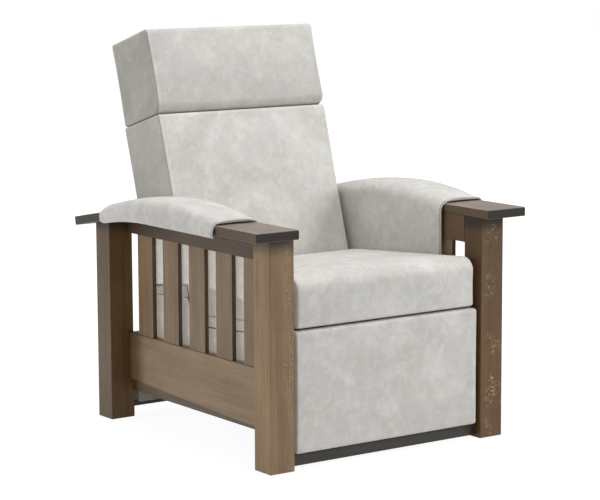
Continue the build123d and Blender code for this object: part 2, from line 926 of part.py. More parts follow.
rear_swing = make_link(layer(1), [(rear_foot, bore), (rear_head, bore)])
with BuildPart() as rear_links:
    add(rear_swing.part)
    mirror(about=Plane.YZ)
write(rear_links, "rear_links")

with BuildPart() as rear_cross_tube:
    with BuildSketch(Plane.YZ):
        with Locations(cross_tube_place):
            Circle(cross_tube_radius)
            Circle(cross_tube_radius - steel / 2, mode=Mode.SUBTRACT)
    extrude(amount=layer(1), both=True)
write(rear_cross_tube, "rear_cross_tube")

# Side plates of the seat with their studs
inner_stud_places = (shoulder, front_shoulder)
swing_stud_places = (rear_head, front_head)

with BuildPart() as side_plates:
    with BuildSketch(Plane.YZ.offset(plate_inner)):
        for place in (*inner_stud_places, *swing_stud_places, back_hinge):
            with Locations(place):
                Circle(plate_corner)
        make_hull()
        for place in (*inner_stud_places, *swing_stud_places, back_hinge):
            with Locations(place):
                Circle(pivot_radius, mode=Mode.SUBTRACT)
        for place in plate_bolt_places:
            with Locations(place):
                Circle(screw_radius, mode=Mode.SUBTRACT)
    extrude(amount=steel)
    mirror(about=Plane.YZ)
write(side_plates, "side_plates")

with BuildPart() as plate_studs:
    for place in swing_stud_places:
        stud(place, mech_outer, layer(1) - head_gap)
    for place in inner_stud_places:
        stud(place, mech_outer, layer(3) - head_gap)
        rod(Plane.YZ, place, plate_inner, layer(3) + steel + collar_gap, collar_radius)
    stud(back_hinge, plate_inner, bracket_outer + head_gap)
    mirror(about=Plane.YZ)
write(plate_studs, "plate_studs")

with BuildPart() as plate_bolts:
    for place in plate_bolt_places:
        rod(Plane.YZ, place, plate_inner, seat_rail_outer, screw_radius)
        rod(Plane.YZ, place, plate_inner - screw_head_height, plate_inner, screw_head_radius)
    mirror(about=Plane.YZ)
write(plate_bolts, "plate_bolts")

# Brackets of the back with the pin that the back link holds
with BuildPart() as back_brackets:
    with BuildSketch(Plane.YZ.offset(bracket_inner)):
        for place in (back_hinge, back_lever):
            with Locations(place):
                Circle(link_half_width + back_bracket_margin)
        neck = [
            back_section.from_local_coords((stile_foot - rise, depth))
            for rise in (back_bracket_margin, back_bracket_neck)
            for depth in (frame_front - back_bracket_margin, frame_rear + back_bracket_margin)
        ]
        with BuildLine():
            Polyline(*[(neck[i].Y, neck[i].Z) for i in (0, 1, 3, 2)], close=True)
        make_hull()
        with Locations(back_hinge):
            Circle(bore, mode=Mode.SUBTRACT)
    extrude(amount=steel)
    strip_low = stile_foot - back_bracket_neck
    with BuildSketch(back_section.offset(bracket_inner)):
        with Locations((strip_low + back_bracket_height / 2, stile_middle)):
            Rectangle(back_bracket_height, stile_depth - 2 * back_bracket_margin)
        with Locations(*back_bolt_places):
            Circle(back_bolt_radius, mode=Mode.SUBTRACT)
    extrude(amount=steel)
    rod(Plane.YZ, back_lever, bracket_outer, back_link_low - collar_gap, collar_radius)
    stud(back_lever, bracket_inner, back_link_low + steel + head_gap)
    mirror(about=Plane.YZ)
write(back_brackets, "back_brackets")

open_bore = pivot_radius + back_link_play
back_strut = make_link(back_link_low, [(back_link_foot, bore), (back_lever, open_bore)])
with BuildPart() as back_links:
    add(back_strut.part)
    mirror(about=Plane.YZ)
write(back_links, "back_links")

# Footrest linkage
pair_bore = pivot_radius + open_fit
rear_arm = make_link(
    layer(3), [(shoulder, bore), (knee, pivot_radius), (upper_knee, pivot_radius)]
)
with BuildPart() as rear_swing_arms:
    add(rear_arm.part)
    for place in (knee, upper_knee):
        stud(place, layer(3) + steel, layer(4) - head_gap)
    mirror(about=Plane.YZ)
write(rear_swing_arms, "rear_swing_arms")

with BuildPart() as torque_tube:
    with BuildSketch(Plane.YZ):
        with Locations(shoulder):
            Circle(torque_tube_radius)
            Circle(torque_tube_bore, mode=Mode.SUBTRACT)
    extrude(amount=layer(3), both=True)
write(torque_tube, "torque_tube")

front_arm = make_link(layer(3), [(front_shoulder, bore), (front_knee, pivot_radius)])
with BuildPart() as front_swing_arms:
    add(front_arm.part)
    stud(front_knee, layer(3) + steel, layer(4) - head_gap)
    mirror(about=Plane.YZ)
write(front_swing_arms, "front_swing_arms")

long_arm = make_link(
    layer(4), [(knee, bore), (front_knee, pair_bore), (tilt_pivot, pivot_radius)]
)
with BuildPart() as reach_arms:
    add(long_arm.part)
    stud(tilt_pivot, layer(4) + steel, layer(5) - head_gap)
    mirror(about=Plane.YZ)
write(reach_arms, "reach_arms")

upper_arm = make_link(layer(4), [(upper_knee, bore), (upper_tilt_pivot, pivot_radius)])
with BuildPart() as upper_reach_arms:
    add(upper_arm.part)
    stud(upper_tilt_pivot, layer(4) + steel, layer(5) - head_gap)
    mirror(about=Plane.YZ)
write(upper_reach_arms, "upper_reach_arms")

# Footrest: a board in a crowned pad, on brackets with a screwed flange
footrest_front = run(footrest_setback)
footrest_rear = footrest_front + footrest_thickness
footrest_middle = (footrest_low + footrest_high) / 2
bracket_middle = (tilt_pivot[1] + upper_tilt_pivot[1]) / 2
bracket_low = bracket_middle - bracket_plate_high / 2
bracket_high = bracket_middle + bracket_plate_high / 2
bracket_screw_x = layer(5) - bracket_flange / 2
bracket_screw_places = [
    (bracket_screw_x, bracket_middle + side * bracket_plate_high / 4) for side in (-1, 1)
]


def across(x, z, start, end, radius, mode=Mode.ADD):
    with Locations(Location((x, (start + end) / 2, z), (90, 0, 0))):
        Cylinder(radius, end - start, mode=mode)


with BuildPart() as footrest_brackets:
    with BuildSketch(Plane.YZ.offset(layer(5))):
        for place in (tilt_pivot, upper_tilt_pivot):
            with Locations(place):
                Circle(link_half_width)
        with BuildLine():
            Polyline(
                (footrest_rear, bracket_low),
                (footrest_rear + steel, bracket_low),
                (footrest_rear + steel, bracket_high),
                (footrest_rear, bracket_high),
                close=True,
            )
        make_hull()
        with Locations(tilt_pivot):
            Circle(bore, mode=Mode.SUBTRACT)
        with Locations(upper_tilt_pivot):
            Circle(pair_bore, mode=Mode.SUBTRACT)
    extrude(amount=steel)
    flange_across = (layer(5) - bracket_flange + steel, layer(5) + steel)
    flange_run = (footrest_rear, footrest_rear + steel)
    box_between(flange_across, flange_run, (bracket_low, bracket_high))
    for x, z in bracket_screw_places:
        across(x, z, footrest_rear, footrest_rear + steel, screw_radius, Mode.SUBTRACT)
    mirror(about=Plane.YZ)
write(footrest_brackets, "footrest_brackets")

board_half = footrest_half_width - footrest_edge_cover
board_run = (footrest_rear - footrest_board, footrest_rear)
board_high = (footrest_low + footrest_edge_cover, footrest_high - footrest_edge_cover)

with BuildPart() as footrest_panel_board:
    box_between((-board_half, board_half), board_run, board_high)
    for x, z in bracket_screw_places:
        for side in (x, -x):
            across(side, z, board_run[0], board_run[1], screw_radius, Mode.SUBTRACT)
write(footrest_panel_board, "footrest_board")

with BuildPart() as bracket_screws:
    for x, z in bracket_screw_places:
        across(x, z, board_run[0], footrest_rear + steel, screw_radius)
        head_face = footrest_rear + steel
        across(x, z, head_face, head_face + screw_head_height / 2, screw_head_radius)
    mirror(about=Plane.YZ)
write(bracket_screws, "bracket_screws")

with BuildPart() as footrest_pad:
    with BuildSketch(Plane.YZ):
        with BuildLine():
            front_low = (footrest_front, footrest_low)
            front_high = (footrest_front, footrest_high)
            front_crown = (footrest_front - footrest_crown, footrest_middle)
            ThreePointArc(front_low, front_crown, front_high)
            Polyline(
                front_high, (footrest_rear, footrest_high), (footrest_rear, footrest_low), front_low
            )
        make_face()
    extrude(amount=footrest_half_width, both=True)
    pad_face = footrest_pad.faces().sort_by(Axis.Y)[0]
    fillet(pad_face.edges(), radius=footrest_round)
    tray = (-board_half - soft_gap, board_half + soft_gap)
    tray_run = (board_run[0] - soft_gap, footrest_rear)
    tray_high = (board_high[0] - soft_gap, board_high[1] + soft_gap)
    box_between(tray, tray_run, tray_high, Mode.SUBTRACT)
write(footrest_pad, "footrest_pad")
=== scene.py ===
import json
import math

import bmesh
import bpy
from mathutils import Matrix, Vector, noise


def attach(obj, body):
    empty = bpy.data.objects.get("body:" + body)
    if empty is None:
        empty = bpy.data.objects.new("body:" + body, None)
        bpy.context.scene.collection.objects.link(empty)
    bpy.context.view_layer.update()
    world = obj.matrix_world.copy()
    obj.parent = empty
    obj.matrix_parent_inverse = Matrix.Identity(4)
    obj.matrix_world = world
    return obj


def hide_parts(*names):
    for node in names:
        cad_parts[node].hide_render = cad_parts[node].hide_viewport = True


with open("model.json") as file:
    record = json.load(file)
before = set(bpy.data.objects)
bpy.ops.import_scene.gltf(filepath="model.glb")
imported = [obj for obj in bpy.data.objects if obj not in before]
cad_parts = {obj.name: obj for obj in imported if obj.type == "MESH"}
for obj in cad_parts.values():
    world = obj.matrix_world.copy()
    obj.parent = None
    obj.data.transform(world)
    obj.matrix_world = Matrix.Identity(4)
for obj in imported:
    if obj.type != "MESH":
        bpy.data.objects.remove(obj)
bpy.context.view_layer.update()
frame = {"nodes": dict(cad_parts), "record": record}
print("chair frame loaded")

# Colours are linear, lengths are metres, angles are degrees.


# Node helpers shared by every finish. Inputs are given by name or number, as a value or as another
# node's socket.
def fillInputs(tree, node, inputs):
    for name, value in inputs.items():
        if isinstance(value, bpy.types.NodeSocket):
            tree.links.new(value, node.inputs[name])
        else:
            node.inputs[name].default_value = value


def addNode(tree, kind, inputs, **settings):
    node = tree.nodes.new("ShaderNode" + kind)
    for name, value in settings.items():
        setattr(node, name, value)
    fillInputs(tree, node, inputs)
    return node


def startFinish(name):
    finish = bpy.data.materials.new(name)
    finish.use_nodes = True
    tree = finish.node_tree
    return finish, tree, tree.nodes["Principled BSDF"], addNode(tree, "TexCoord", {})


def stretched(tree, coords, scale, shift=(0, 0, 0)):
    inputs = {"Scale": scale, "Location": shift, "Vector": coords.outputs["Object"]}
    return addNode(tree, "Mapping", inputs).outputs["Vector"]


def noiseOf(tree, vector, scale, detail, rough, twist=0.0):
    inputs = {"Scale": scale, "Detail": detail, "Roughness": rough, "Distortion": twist}
    return addNode(tree, "TexNoise", {"Vector": vector, **inputs}).outputs["Fac"]


# Each stop is a place with a colour or a grey
def rampOf(tree, value, stops):
    ramp = addNode(tree, "ValToRGB", {"Fac": value})
    bar = ramp.color_ramp
    while len(bar.elements) < len(stops):
        bar.elements.new(0.5)
    for element, (place, colour) in zip(bar.elements, stops):
        element.position = place
        element.color = (*colour, 1.0) if isinstance(colour, tuple) else (colour,) * 3 + (1.0,)
    return ramp.outputs["Color"]


def spread(tree, value, places, colours):
    return rampOf(tree, value, list(zip(places, colours)))


def mixed(tree, share, first, second, way="MIX"):
    first, second = ((*c, 1.0) if isinstance(c, tuple) else c for c in (first, second))
    inputs = {0: share, 6: first, 7: second}
    return addNode(tree, "Mix", inputs, data_type="RGBA", blend_type=way).outputs[2]


def ranged(tree, value, low, high, start=0.0, end=1.0, way="LINEAR"):
    inputs = {"From Min": start, "From Max": end, "To Min": low, "To Max": high}
    node = addNode(tree, "MapRange", {"Value": value, **inputs}, interpolation_type=way)
    return node.outputs["Result"]


def bumped(tree, height, strength, depth, under=None):
    inputs = {"Height": height, "Strength": strength, "Distance": depth}
    if under is not None:
        inputs["Normal"] = under
    return addNode(tree, "Bump", inputs).outputs["Normal"]


def mathOf(tree, operation, *values):
    return addNode(tree, "Math", dict(enumerate(values)), operation=operation).outputs[0]


def along(tree, coords, output, axis):
    return addNode(tree, "SeparateXYZ", {"Vector": coords.outputs[output]}).outputs[axis]


# From 0 at start to 1 at end, measured along one of the object's own axes
def spanOf(tree, coords, axis, start, end):
    place = along(tree, coords, "Object", axis)
    return ranged(tree, place, 0.0, 1.0, start, end, "SMOOTHSTEP")


# A mask of the faces that look along one of the object's own axes
def facing(tree, coords, axis, low, high):
    size = mathOf(tree, "ABSOLUTE", along(tree, coords, "Normal", axis))
    return rampOf(tree, size, [(low, 0.0), (high, 1.0)])


def tones(source, tint, *keys):
    return [tuple(part * share for part, share in zip(source[key], tint)) for key in keys]


# Quarter-sawn oak with its streaks, pores and ray flecks. Each pattern holds its scale across and
# along the grain, its detail, roughness and twist, and each bump its strength and depth.
oak = {
    "deep": (0.160, 0.118, 0.080),
    "body": (0.228, 0.171, 0.120),
    "pale": (0.280, 0.215, 0.154),
    "fleck": (0.460, 0.335, 0.180),
    "pore": (0.070, 0.048, 0.032),
    "endGrain": (0.20, 0.19, 0.18),
    "streaks": (44, 1.7, 6.0, 0.58, 0.8),
    "streakPlaces": (0.28, 0.50, 0.72),
    "fine": (380, 9, 4.0, 0.6, 0.0),
    "finePlaces": (0.35, 0.65),
    "fineShare": 0.22,
    "pores": (1200, 40, 2.0, 0.5, 0.0),
    "poreStops": [(0.60, 0.0), (0.70, 0.50)],
    "clouds": (11, 4, 4.0, 0.55, 0.0),
    "cloudStops": [(0.30, (0.78, 0.75, 0.73)), (0.64, (1.08, 1.08, 1.06))],
    "curls": (1.0, 0.9, 1.0, 0.4, 0.0),
    "curlStops": [(0.478, 0.0), (0.492, 1.0), (0.512, 1.0), (0.530, 0.0)],
    "patches": (0.3, 0.2, 2.0, 0.5, 0.0),
    "patchPlaces": (0.445, 0.53),
    "fleckFacing": (0.5, 0.8),
    "faceFacing": (0.55, 0.90),
    "roughness": (0.42, 0.60),
    "gloss": 0.35,
    "coat": 0.08,
    "coatRoughness": 0.42,
    "fineBump": (0.20, 0.0004),
    "poreBump": (-0.30, 0.0003),
}


# Grain runs along X, Y or Z. "faces" tints the faces that look along an axis, mostly as painted
# light and shade, and "shade" is a painted shade: an axis, where the shade starts and ends along
# it, and its tint. "flecks" gives the face, strength, size and twist of the ray flecks, and where
# along X they come in.
def makeOak(name, grain, tint, shift=(0, 0, 0), faces=None, shade=None, flecks=None):
    finish, tree, shader, coords = startFinish(name)
    deep, body, pale, pore = tones(oak, tint, "deep", "body", "pale", "pore")

    def pattern(key, size=1.0, twist=0.0):
        across, lengthwise, detail, rough, ownTwist = oak[key]
        scale = [across * size] * 3
        scale["XYZ".index(grain)] = lengthwise * size
        place = stretched(tree, coords, scale, shift)
        return noiseOf(tree, place, 1.0, detail, rough, ownTwist + twist)

    fine = pattern("fine")
    colour = spread(tree, pattern("streaks"), oak["streakPlaces"], (deep, body, pale))
    threads = spread(tree, fine, oak["finePlaces"], (deep, pale))
    colour = mixed(tree, oak["fineShare"], colour, threads)
    clouds = rampOf(tree, pattern("clouds"), oak["cloudStops"])
    colour = mixed(tree, 1.0, colour, clouds, "MULTIPLY")
    if flecks:
        size = flecks["size"]
        strengths = (0.0, flecks["strength"])
        mask = rampOf(tree, pattern("curls", size, flecks["twist"]), oak["curlStops"])
        for part in (
            spread(tree, pattern("patches", size), oak["patchPlaces"], strengths),
            facing(tree, coords, flecks["face"], *oak["fleckFacing"]),
            spanOf(tree, coords, "X", *flecks["band"]),
        ):
            mask = mixed(tree, 1.0, mask, part, "MULTIPLY")
        colour = mixed(tree, mask, colour, oak["fleck"])
    pores = rampOf(tree, pattern("pores"), oak["poreStops"])
    colour = mixed(tree, pores, colour, pore)
    # End grain is darker; the other face tints paint light and shade onto whole sides
    for axis, faceTint in {grain: oak["endGrain"], **(faces or {})}.items():
        there = facing(tree, coords, axis, *oak["faceFacing"])
        colour = mixed(tree, there, colour, faceTint, "MULTIPLY")
    # Painted shade, growing along one axis
    if shade:
        axis, start, end, shadeTint = shade
        colour = mixed(tree, spanOf(tree, coords, axis, start, end), colour, shadeTint, "MULTIPLY")
    fillInputs(tree, shader, {
        "Base Color": colour,
        "Roughness": ranged(tree, fine, *oak["roughness"]),
        "Specular IOR Level": oak["gloss"],
        "Coat Weight": oak["coat"],
        "Coat Roughness": oak["coatRoughness"],
        "Normal": bumped(tree, pores, *oak["poreBump"], bumped(tree, fine, *oak["fineBump"])),
    })
    return finish


# Brushed cloth with a soft nap, in warm and cool clouds with paler scuffs. Each pattern holds its
# scale, detail, roughness and twist.
suede = {
    "warm": (0.538, 0.522, 0.478),
    "body": (0.622, 0.606, 0.570),
    "cool": (0.560, 0.556, 0.545),
    "light": (0.745, 0.732, 0.700),
    "clouds": (9.0, 4.0, 0.55, 0.8),
    "cloudPlaces": (0.34, 0.50, 0.68),
    "blotches": (27.0, 5.0, 0.62, 1.2),
    "blotchPlaces": (0.36, 0.50, 0.66),
    "blotchShare": 0.45,
    "coolClouds": (12.0, 4.0, 0.58, 0.9),
    "coolStops": [(0.50, 0.0), (0.66, 0.75)],
    "scuffs": (27.0, 7.0, 0.72, 2.4),
    "scuffStops": [(0.575, 0.0), (0.66, 0.70)],
    "nap": (620.0, 3.0, 0.6, 0.0),
    "napPlaces": (0.3, 0.7),
    "napShare": 0.06,
    "offset": (7.0, 3.0, 9.0),
    "roughness": 0.88,
    "sheen": 0.10,
    "sheenRoughness": 0.45,
    "blotchBump": (0.16, 0.0014),
    "napBump": (0.22, 0.0004),
}


def makeSuede(name, tint=(1, 1, 1), shift=(0, 0, 0)):
    finish, tree, shader, coords = startFinish(name)
    warm, body, cool, light = tones(suede, tint, "warm", "body", "cool", "light")
    plain = stretched(tree, coords, (1, 1, 1), shift)
    moved = tuple(a + b for a, b in zip(shift, suede["offset"]))
    offset = stretched(tree, coords, (1, 1, 1), moved)
    clouds = noiseOf(tree, plain, *suede["clouds"])
    coolClouds = noiseOf(tree, offset, *suede["coolClouds"])
    blotches = noiseOf(tree, plain, *suede["blotches"])
    scuffs = noiseOf(tree, offset, *suede["scuffs"])
    nap = noiseOf(tree, plain, *suede["nap"])
    colour = spread(tree, clouds, suede["cloudPlaces"], (warm, body, light))
    patch = spread(tree, blotches, suede["blotchPlaces"], (warm, body, light))
    colour = mixed(tree, suede["blotchShare"], colour, patch)
    colour = mixed(tree, rampOf(tree, coolClouds, suede["coolStops"]), colour, cool)
    colour = mixed(tree, rampOf(tree, scuffs, suede["scuffStops"]), colour, light)
    hairs = spread(tree, nap, suede["napPlaces"], (warm, light))
    colour = mixed(tree, suede["napShare"], colour, hairs)
    soft = bumped(tree, blotches, *suede["blotchBump"])
    fillInputs(tree, shader, {
        "Base Color": colour,
        "Roughness": suede["roughness"],
        "Sheen Weight": suede["sheen"],
        "Sheen Roughness": suede["sheenRoughness"],
        "Normal": bumped(tree, nap, *suede["napBump"], soft),
    })
    return finish


# Painted and plated steel, felt, webbing and plastic: colour, metal, roughness and size of grain
plainFinishes = {
    "mechanism_steel": ((0.028, 0.028, 0.030), 0.0, 0.38, 260.0),
    "zinc_fasteners": ((0.56, 0.56, 0.53), 1.0, 0.34, 900.0),
    "spring_steel": ((0.30, 0.30, 0.30), 1.0, 0.42, 700.0),
    "felt": ((0.23, 0.23, 0.22), 0.0, 0.95, 480.0),
    "webbing": ((0.05, 0.05, 0.052), 0.0, 0.85, 620.0),
    "glide_plastic": ((0.035, 0.035, 0.035), 0.0, 0.55, 350.0),
}
plainTexture = {
    "speck": (3.0, 0.55),
    "cloud": (22.0, 3.0, 0.5),
    "dull": 0.72,
    "bright": 1.28,
    "speckShare": 0.35,
    "speckPlaces": (0.3, 0.7),
    "roughShares": (0.85, 1.2),
    "bump": (0.15, 0.0002),
}


def makePlain(name, base, metal, rough, grain):
    finish, tree, shader, coords = startFinish(name)
    speck = noiseOf(tree, coords.outputs["Object"], grain, *plainTexture["speck"])
    cloud = noiseOf(tree, coords.outputs["Object"], *plainTexture["cloud"])
    dull = tuple(part * plainTexture["dull"] for part in base)
    bright = tuple(min(part * plainTexture["bright"], 1.0) for part in base)
    specks = spread(tree, speck, plainTexture["speckPlaces"], (dull, bright))
    colour = mixed(tree, plainTexture["speckShare"], mixed(tree, cloud, dull, bright), specks)
    low, high = (min(rough * share, 1.0) for share in plainTexture["roughShares"])
    fillInputs(tree, shader, {
        "Base Color": colour,
        "Metallic": metal,
        "Roughness": ranged(tree, cloud, low, high),
        "Normal": bumped(tree, speck, *plainTexture["bump"]),
    })
    return finish


# The plain softwood boards inside
board = {
    "dark": (0.36, 0.24, 0.13),
    "light": (0.56, 0.42, 0.26),
    "fibre": (0.30, 0.19, 0.10),
    "veinScale": (60, 5, 60),
    "veins": (5.0, 0.6, 0.4),
    "veinPlaces": (0.3, 0.7),
    "fineScale": (500, 30, 500),
    "fine": (3.0, 0.5),
    "fineShares": (0.0, 0.3),
    "roughness": (0.6, 0.8),
    "bump": (0.2, 0.0003),
}


def makeBoard(name):
    finish, tree, shader, coords = startFinish(name)
    veins = noiseOf(tree, stretched(tree, coords, board["veinScale"]), 1.0, *board["veins"])
    fine = noiseOf(tree, stretched(tree, coords, board["fineScale"]), 1.0, *board["fine"])
    colour = spread(tree, veins, board["veinPlaces"], (board["dark"], board["light"]))
    colour = mixed(tree, ranged(tree, fine, *board["fineShares"]), colour, board["fibre"])
    fillInputs(tree, shader, {
        "Base Color": colour,
        "Roughness": ranged(tree, fine, *board["roughness"]),
        "Normal": bumped(tree, fine, *board["bump"]),
    })
    return finish


# Each oak piece takes the tone it has in the photo, partly with painted light and shade.
# Painted shade darkens the posts just under the arm boards.
oakFinishes = {
    # Its sides are lighter, as painted light, and its top has painted shade under the arm board
    "front_post_left": makeOak(
        "oak front post", "Z", (1.12, 0.965, 0.74),
        faces={"X": (1.18, 1.18, 1.15)},
        shade=("Z", 0.553, 0.600, (0.24, 0.27, 0.32)),
        flecks={"face": "Y", "strength": 1.0, "size": 70, "twist": 2.4, "band": (-0.350, -0.330)},
    ),
    # Darker all over; its sides have painted shade, and its top painted shade under the arm board
    "front_post_right": makeOak(
        "oak front post far", "Z", (0.635, 0.475, 0.270), (3.1, 7.3, 1.7),
        faces={"X": (0.82, 0.78, 0.70)},
        shade=("Z", 0.558, 0.592, (0.27, 0.27, 0.26)),
        flecks={"face": "Y", "strength": 0.75, "size": 38, "twist": 1.2, "band": (0.312, 0.340)},
    ),
    # Darker than the front posts, warmer on its faces along Y, with painted shade at its top
    "rear_post": makeOak(
        "oak rear post", "Z", (0.62, 0.56, 0.48), (1.3, 4.1, 6.6),
        faces={"Y": (1.40, 1.16, 0.78)},
        shade=("Z", 0.520, 0.567, (0.32, 0.33, 0.34)),
    ),
    # The edges that look along Y are darkened as painted shade, and so are the slats by the rear
    # post
    "side_slats": makeOak(
        "oak slats", "Z", (1.12, 1.04, 0.94), (8.2, 1.9, 3.3),
        faces={"Y": (0.44, 0.43, 0.40)},
        shade=("Y", 0.17, 0.24, (0.86, 0.76, 0.66)),
    ),
    # Painted shadow of the rear post darkens the rail's rear end
    "lower_side_rail": makeOak(
        "oak lower rail", "Y", (1.30, 1.20, 1.06), (5.3, 2.9, 8.1),
        shade=("Y", 0.225, 0.300, (0.40, 0.31, 0.20)),
        flecks={"face": "X", "strength": 0.22, "size": 110, "twist": 2.0, "band": (-0.5, -0.4)},
    ),
    # Darkened all over as painted shade under the arm, and more towards the rear
    "upper_side_rail_left": makeOak(
        "oak upper rail", "Y", (0.39, 0.36, 0.31), (2.7, 6.2, 0.4),
        shade=("Y", 0.0, 0.30, (0.62, 0.60, 0.57)),
    ),
    "upper_side_rail_right": makeOak(
        "oak upper rail far", "Y", (0.60, 0.45, 0.30), (1.1, 2.4, 4.8),
    ),
    # Painted reflection on the top, painted shade on the sides and the tail; the ends are end
    # grain
    "bow_arm": makeOak(
        "oak arm", "Y", (0.78, 0.80, 0.84), (4.4, 0.8, 2.5),
        faces={"Y": (0.112, 0.092, 0.068), "X": (0.60, 0.49, 0.37), "Z": (1.56, 1.74, 2.00)},
        shade=("Y", 0.10, 0.30, (0.55, 0.75, 1.06)),
    ),
    # Darkened as painted shade
    "base_side_board": makeOak("oak base board", "Y", (0.70, 0.70, 0.68), (0.9, 3.7, 5.2)),
}
cloth = makeSuede("mottled suede")
# Darker copy of the suede for the sides, as painted shade
shadedSideCloth = makeSuede("side suede in painted shade", (0.80, 0.79, 0.76), (2.0, 5.0, 1.0))
# Lighter copy of the suede, as painted light, for what shows behind the slats
paintedLightCloth = makeSuede("suede painted lighter behind the slats", (1.28, 1.26, 1.22), (4.0, 1.0, 6.0))
# Darker copy of the suede for the headrest, as painted shade
shadedHeadCloth = makeSuede("headrest suede in painted shade", (0.89, 0.89, 0.885), (1.0, 2.0, 8.0))
# Still darker copy for the headrest's sides, as painted shade
shadedHeadSideCloth = makeSuede("headrest side suede, painted shade", (0.70, 0.69, 0.665), (2.0, 5.0, 1.0))
seamCloth = makeSuede("suede in the seams", (0.42, 0.41, 0.39), (6.0, 4.0, 2.0))
innerBoard = makeBoard("plain board")
slotFinishes = {
    slotName: makePlain(slotName.replace("_", " "), *values)
    for slotName, values in plainFinishes.items()
}
slotFinishes["dark_oak"] = makeOak("dark oak across", "X", (0.20, 0.24, 0.27), (1.9, 4.4, 6.2))
slotFinishes["upholstery"] = cloth


# The rear cross rail takes the suede painted lighter, as painted light, so that it shows pale
# between the slats
def finishFor(node, slotName):
    for start, finish in oakFinishes.items():
        if node.startswith(start):
            return finish
    if node == "rear_cross_rail":
        return paintedLightCloth
    return slotFinishes.get(slotName, innerBoard)


for part in frame["record"]["subparts"]:
    wanted = finishFor(part["node"], part["material_slot"])
    mesh = frame["nodes"][part["node"]].data
    mesh.materials.clear()
    mesh.materials.append(wanted)

# The slats cast no shadow, so that light reaches the cloth behind them
for side in ("left", "right"):
    frame["nodes"][f"side_slats_{side}"].visible_shadow = False
print("finishes put on the frame")

# Upholstered pieces: boxed foam in a sewn cover. The seams hold still, and the cloth between them
# fills out.

recline = {"lean": 16.5, "foot": (0.1075, 0.460)}


# A point of the side view, given by its way up the leaning back and out from its front
def onBack(up, forward):
    lean = math.radians(recline["lean"])
    foot = recline["foot"]
    return (
        foot[0] + up * math.sin(lean) - forward * math.cos(lean),
        foot[1] + up * math.cos(lean) + forward * math.sin(lean),
    )


def backCorners(low, high, front, rear):
    return [onBack(low, front), onBack(high, front), onBack(high, rear), onBack(low, rear)]


# Corners go front low, front high, rear high, rear low, as (y, z). Sides go front, top, rear,
# bottom, and "ends" are the caps. "pull" draws the width in halfway along the front and the top.
# "openCorner" lets the cloth move at the front's upper edge too, and "cap" limits its moves.
# The second of "cloths" goes on the ends: painted shade on the back and the headrest, painted
# light on the seat
foamBlocks = {
    "seat_cushion_cover": {
        "corners": [(-0.4455, 0.3680), (-0.4455, 0.5030), (0.0965, 0.4612), (0.0580, 0.3290)],
        "rounds": (0.009, 0.036, 0.014, 0.012),
        "half": 0.2925,
        "edge": 0.010,
        "steps": (15, 46, 50),
        "bulges": (0.0015, 0.004, 0.0, 0.0),
        "pull": (0.0015, 0.003),
        "loose": {"front": 0.8, "top": 1.0, "ends": 0.25},
        "openCorner": True,
        "cap": 0.009,
        "pressure": 3.2,
        "stitched": (),
        "cloths": (cloth, paintedLightCloth),
        "body": "seat",
        "node": "seat_cushion",
        "fill": 0.85,
    },
    "lower_back_cover": {
        "corners": backCorners(-0.0905, 0.4285, 0.0, -0.190),
        "rounds": (0.010, 0.010, 0.006, 0.006),
        "half": 0.2838,
        "edge": 0.0055,
        "steps": (44, 18, 48),
        "bulges": (0.003, 0.0, 0.0, 0.0),
        "pull": (0.002, 0.0),
        "loose": {"front": 1.0, "rear": 0.3, "ends": 0.30},
        "cap": 0.008,
        "pressure": 3.0,
        "stitched": (0,),
        "cloths": (cloth, shadedSideCloth),
        "body": "back",
        "node": "lower_back_cushion",
        "fill": 0.85,
    },
    "headrest_cover": {
        "corners": backCorners(0.4305, 0.6685, 0.006, -0.190),
        "rounds": (0.030, 0.013, 0.007, 0.007),
        "half": 0.2818,
        "edge": 0.0060,
        "steps": (24, 20, 48),
        "bulges": (0.007, 0.001, 0.0, 0.0),
        "pull": (0.002, 0.001),
        "loose": {"front": 1.0, "top": 0.5, "rear": 0.3, "ends": 0.35},
        "cap": 0.008,
        "pressure": 3.2,
        "stitched": (0,),
        "cloths": (shadedHeadCloth, shadedHeadSideCloth),
        "body": "back",
        "node": "headrest_cushion",
        "fill": 0.9,
    },
    "footrest_cover": {
        "corners": [(-0.4515, 0.0432), (-0.4515, 0.3618), (-0.4205, 0.3618), (-0.4205, 0.0432)],
        "rounds": (0.009, 0.010, 0.003, 0.003),
        "half": 0.2988,
        "edge": 0.0075,
        "steps": (30, 4, 50),
        "bulges": (0.0015, 0.0, 0.0, 0.0),
        "pull": (0.001, 0.0),
        "loose": {"front": 1.0},
        "cap": 0.005,
        "pressure": 2.0,
        "stitched": (),
        "cloths": (cloth, cloth),
        "body": "footrest",
        "node": "footrest_pad",
        "fill": 0.9,
    },
    "rear_apron_cover": {
        "corners": [(0.3595, 0.0423), (0.3595, 0.2397), (0.3813, 0.2397), (0.3813, 0.0423)],
        "rounds": (0.004, 0.006, 0.006, 0.004),
        "half": 0.3072,
        "edge": 0.0020,
        "steps": (18, 3, 44),
        "bulges": (0.0, 0.0, 0.001, 0.0),
        "pull": (0.0, 0.0),
        "loose": {"rear": 0.5},
        "cap": 0.002,
        "pressure": 1.5,
        "stitched": (),
        "cloths": (cloth, cloth),
        "body": "frame",
        "node": "rear_apron",
        "fill": 0.95,
    },
}
sideNames = ("front", "top", "rear", "bottom")

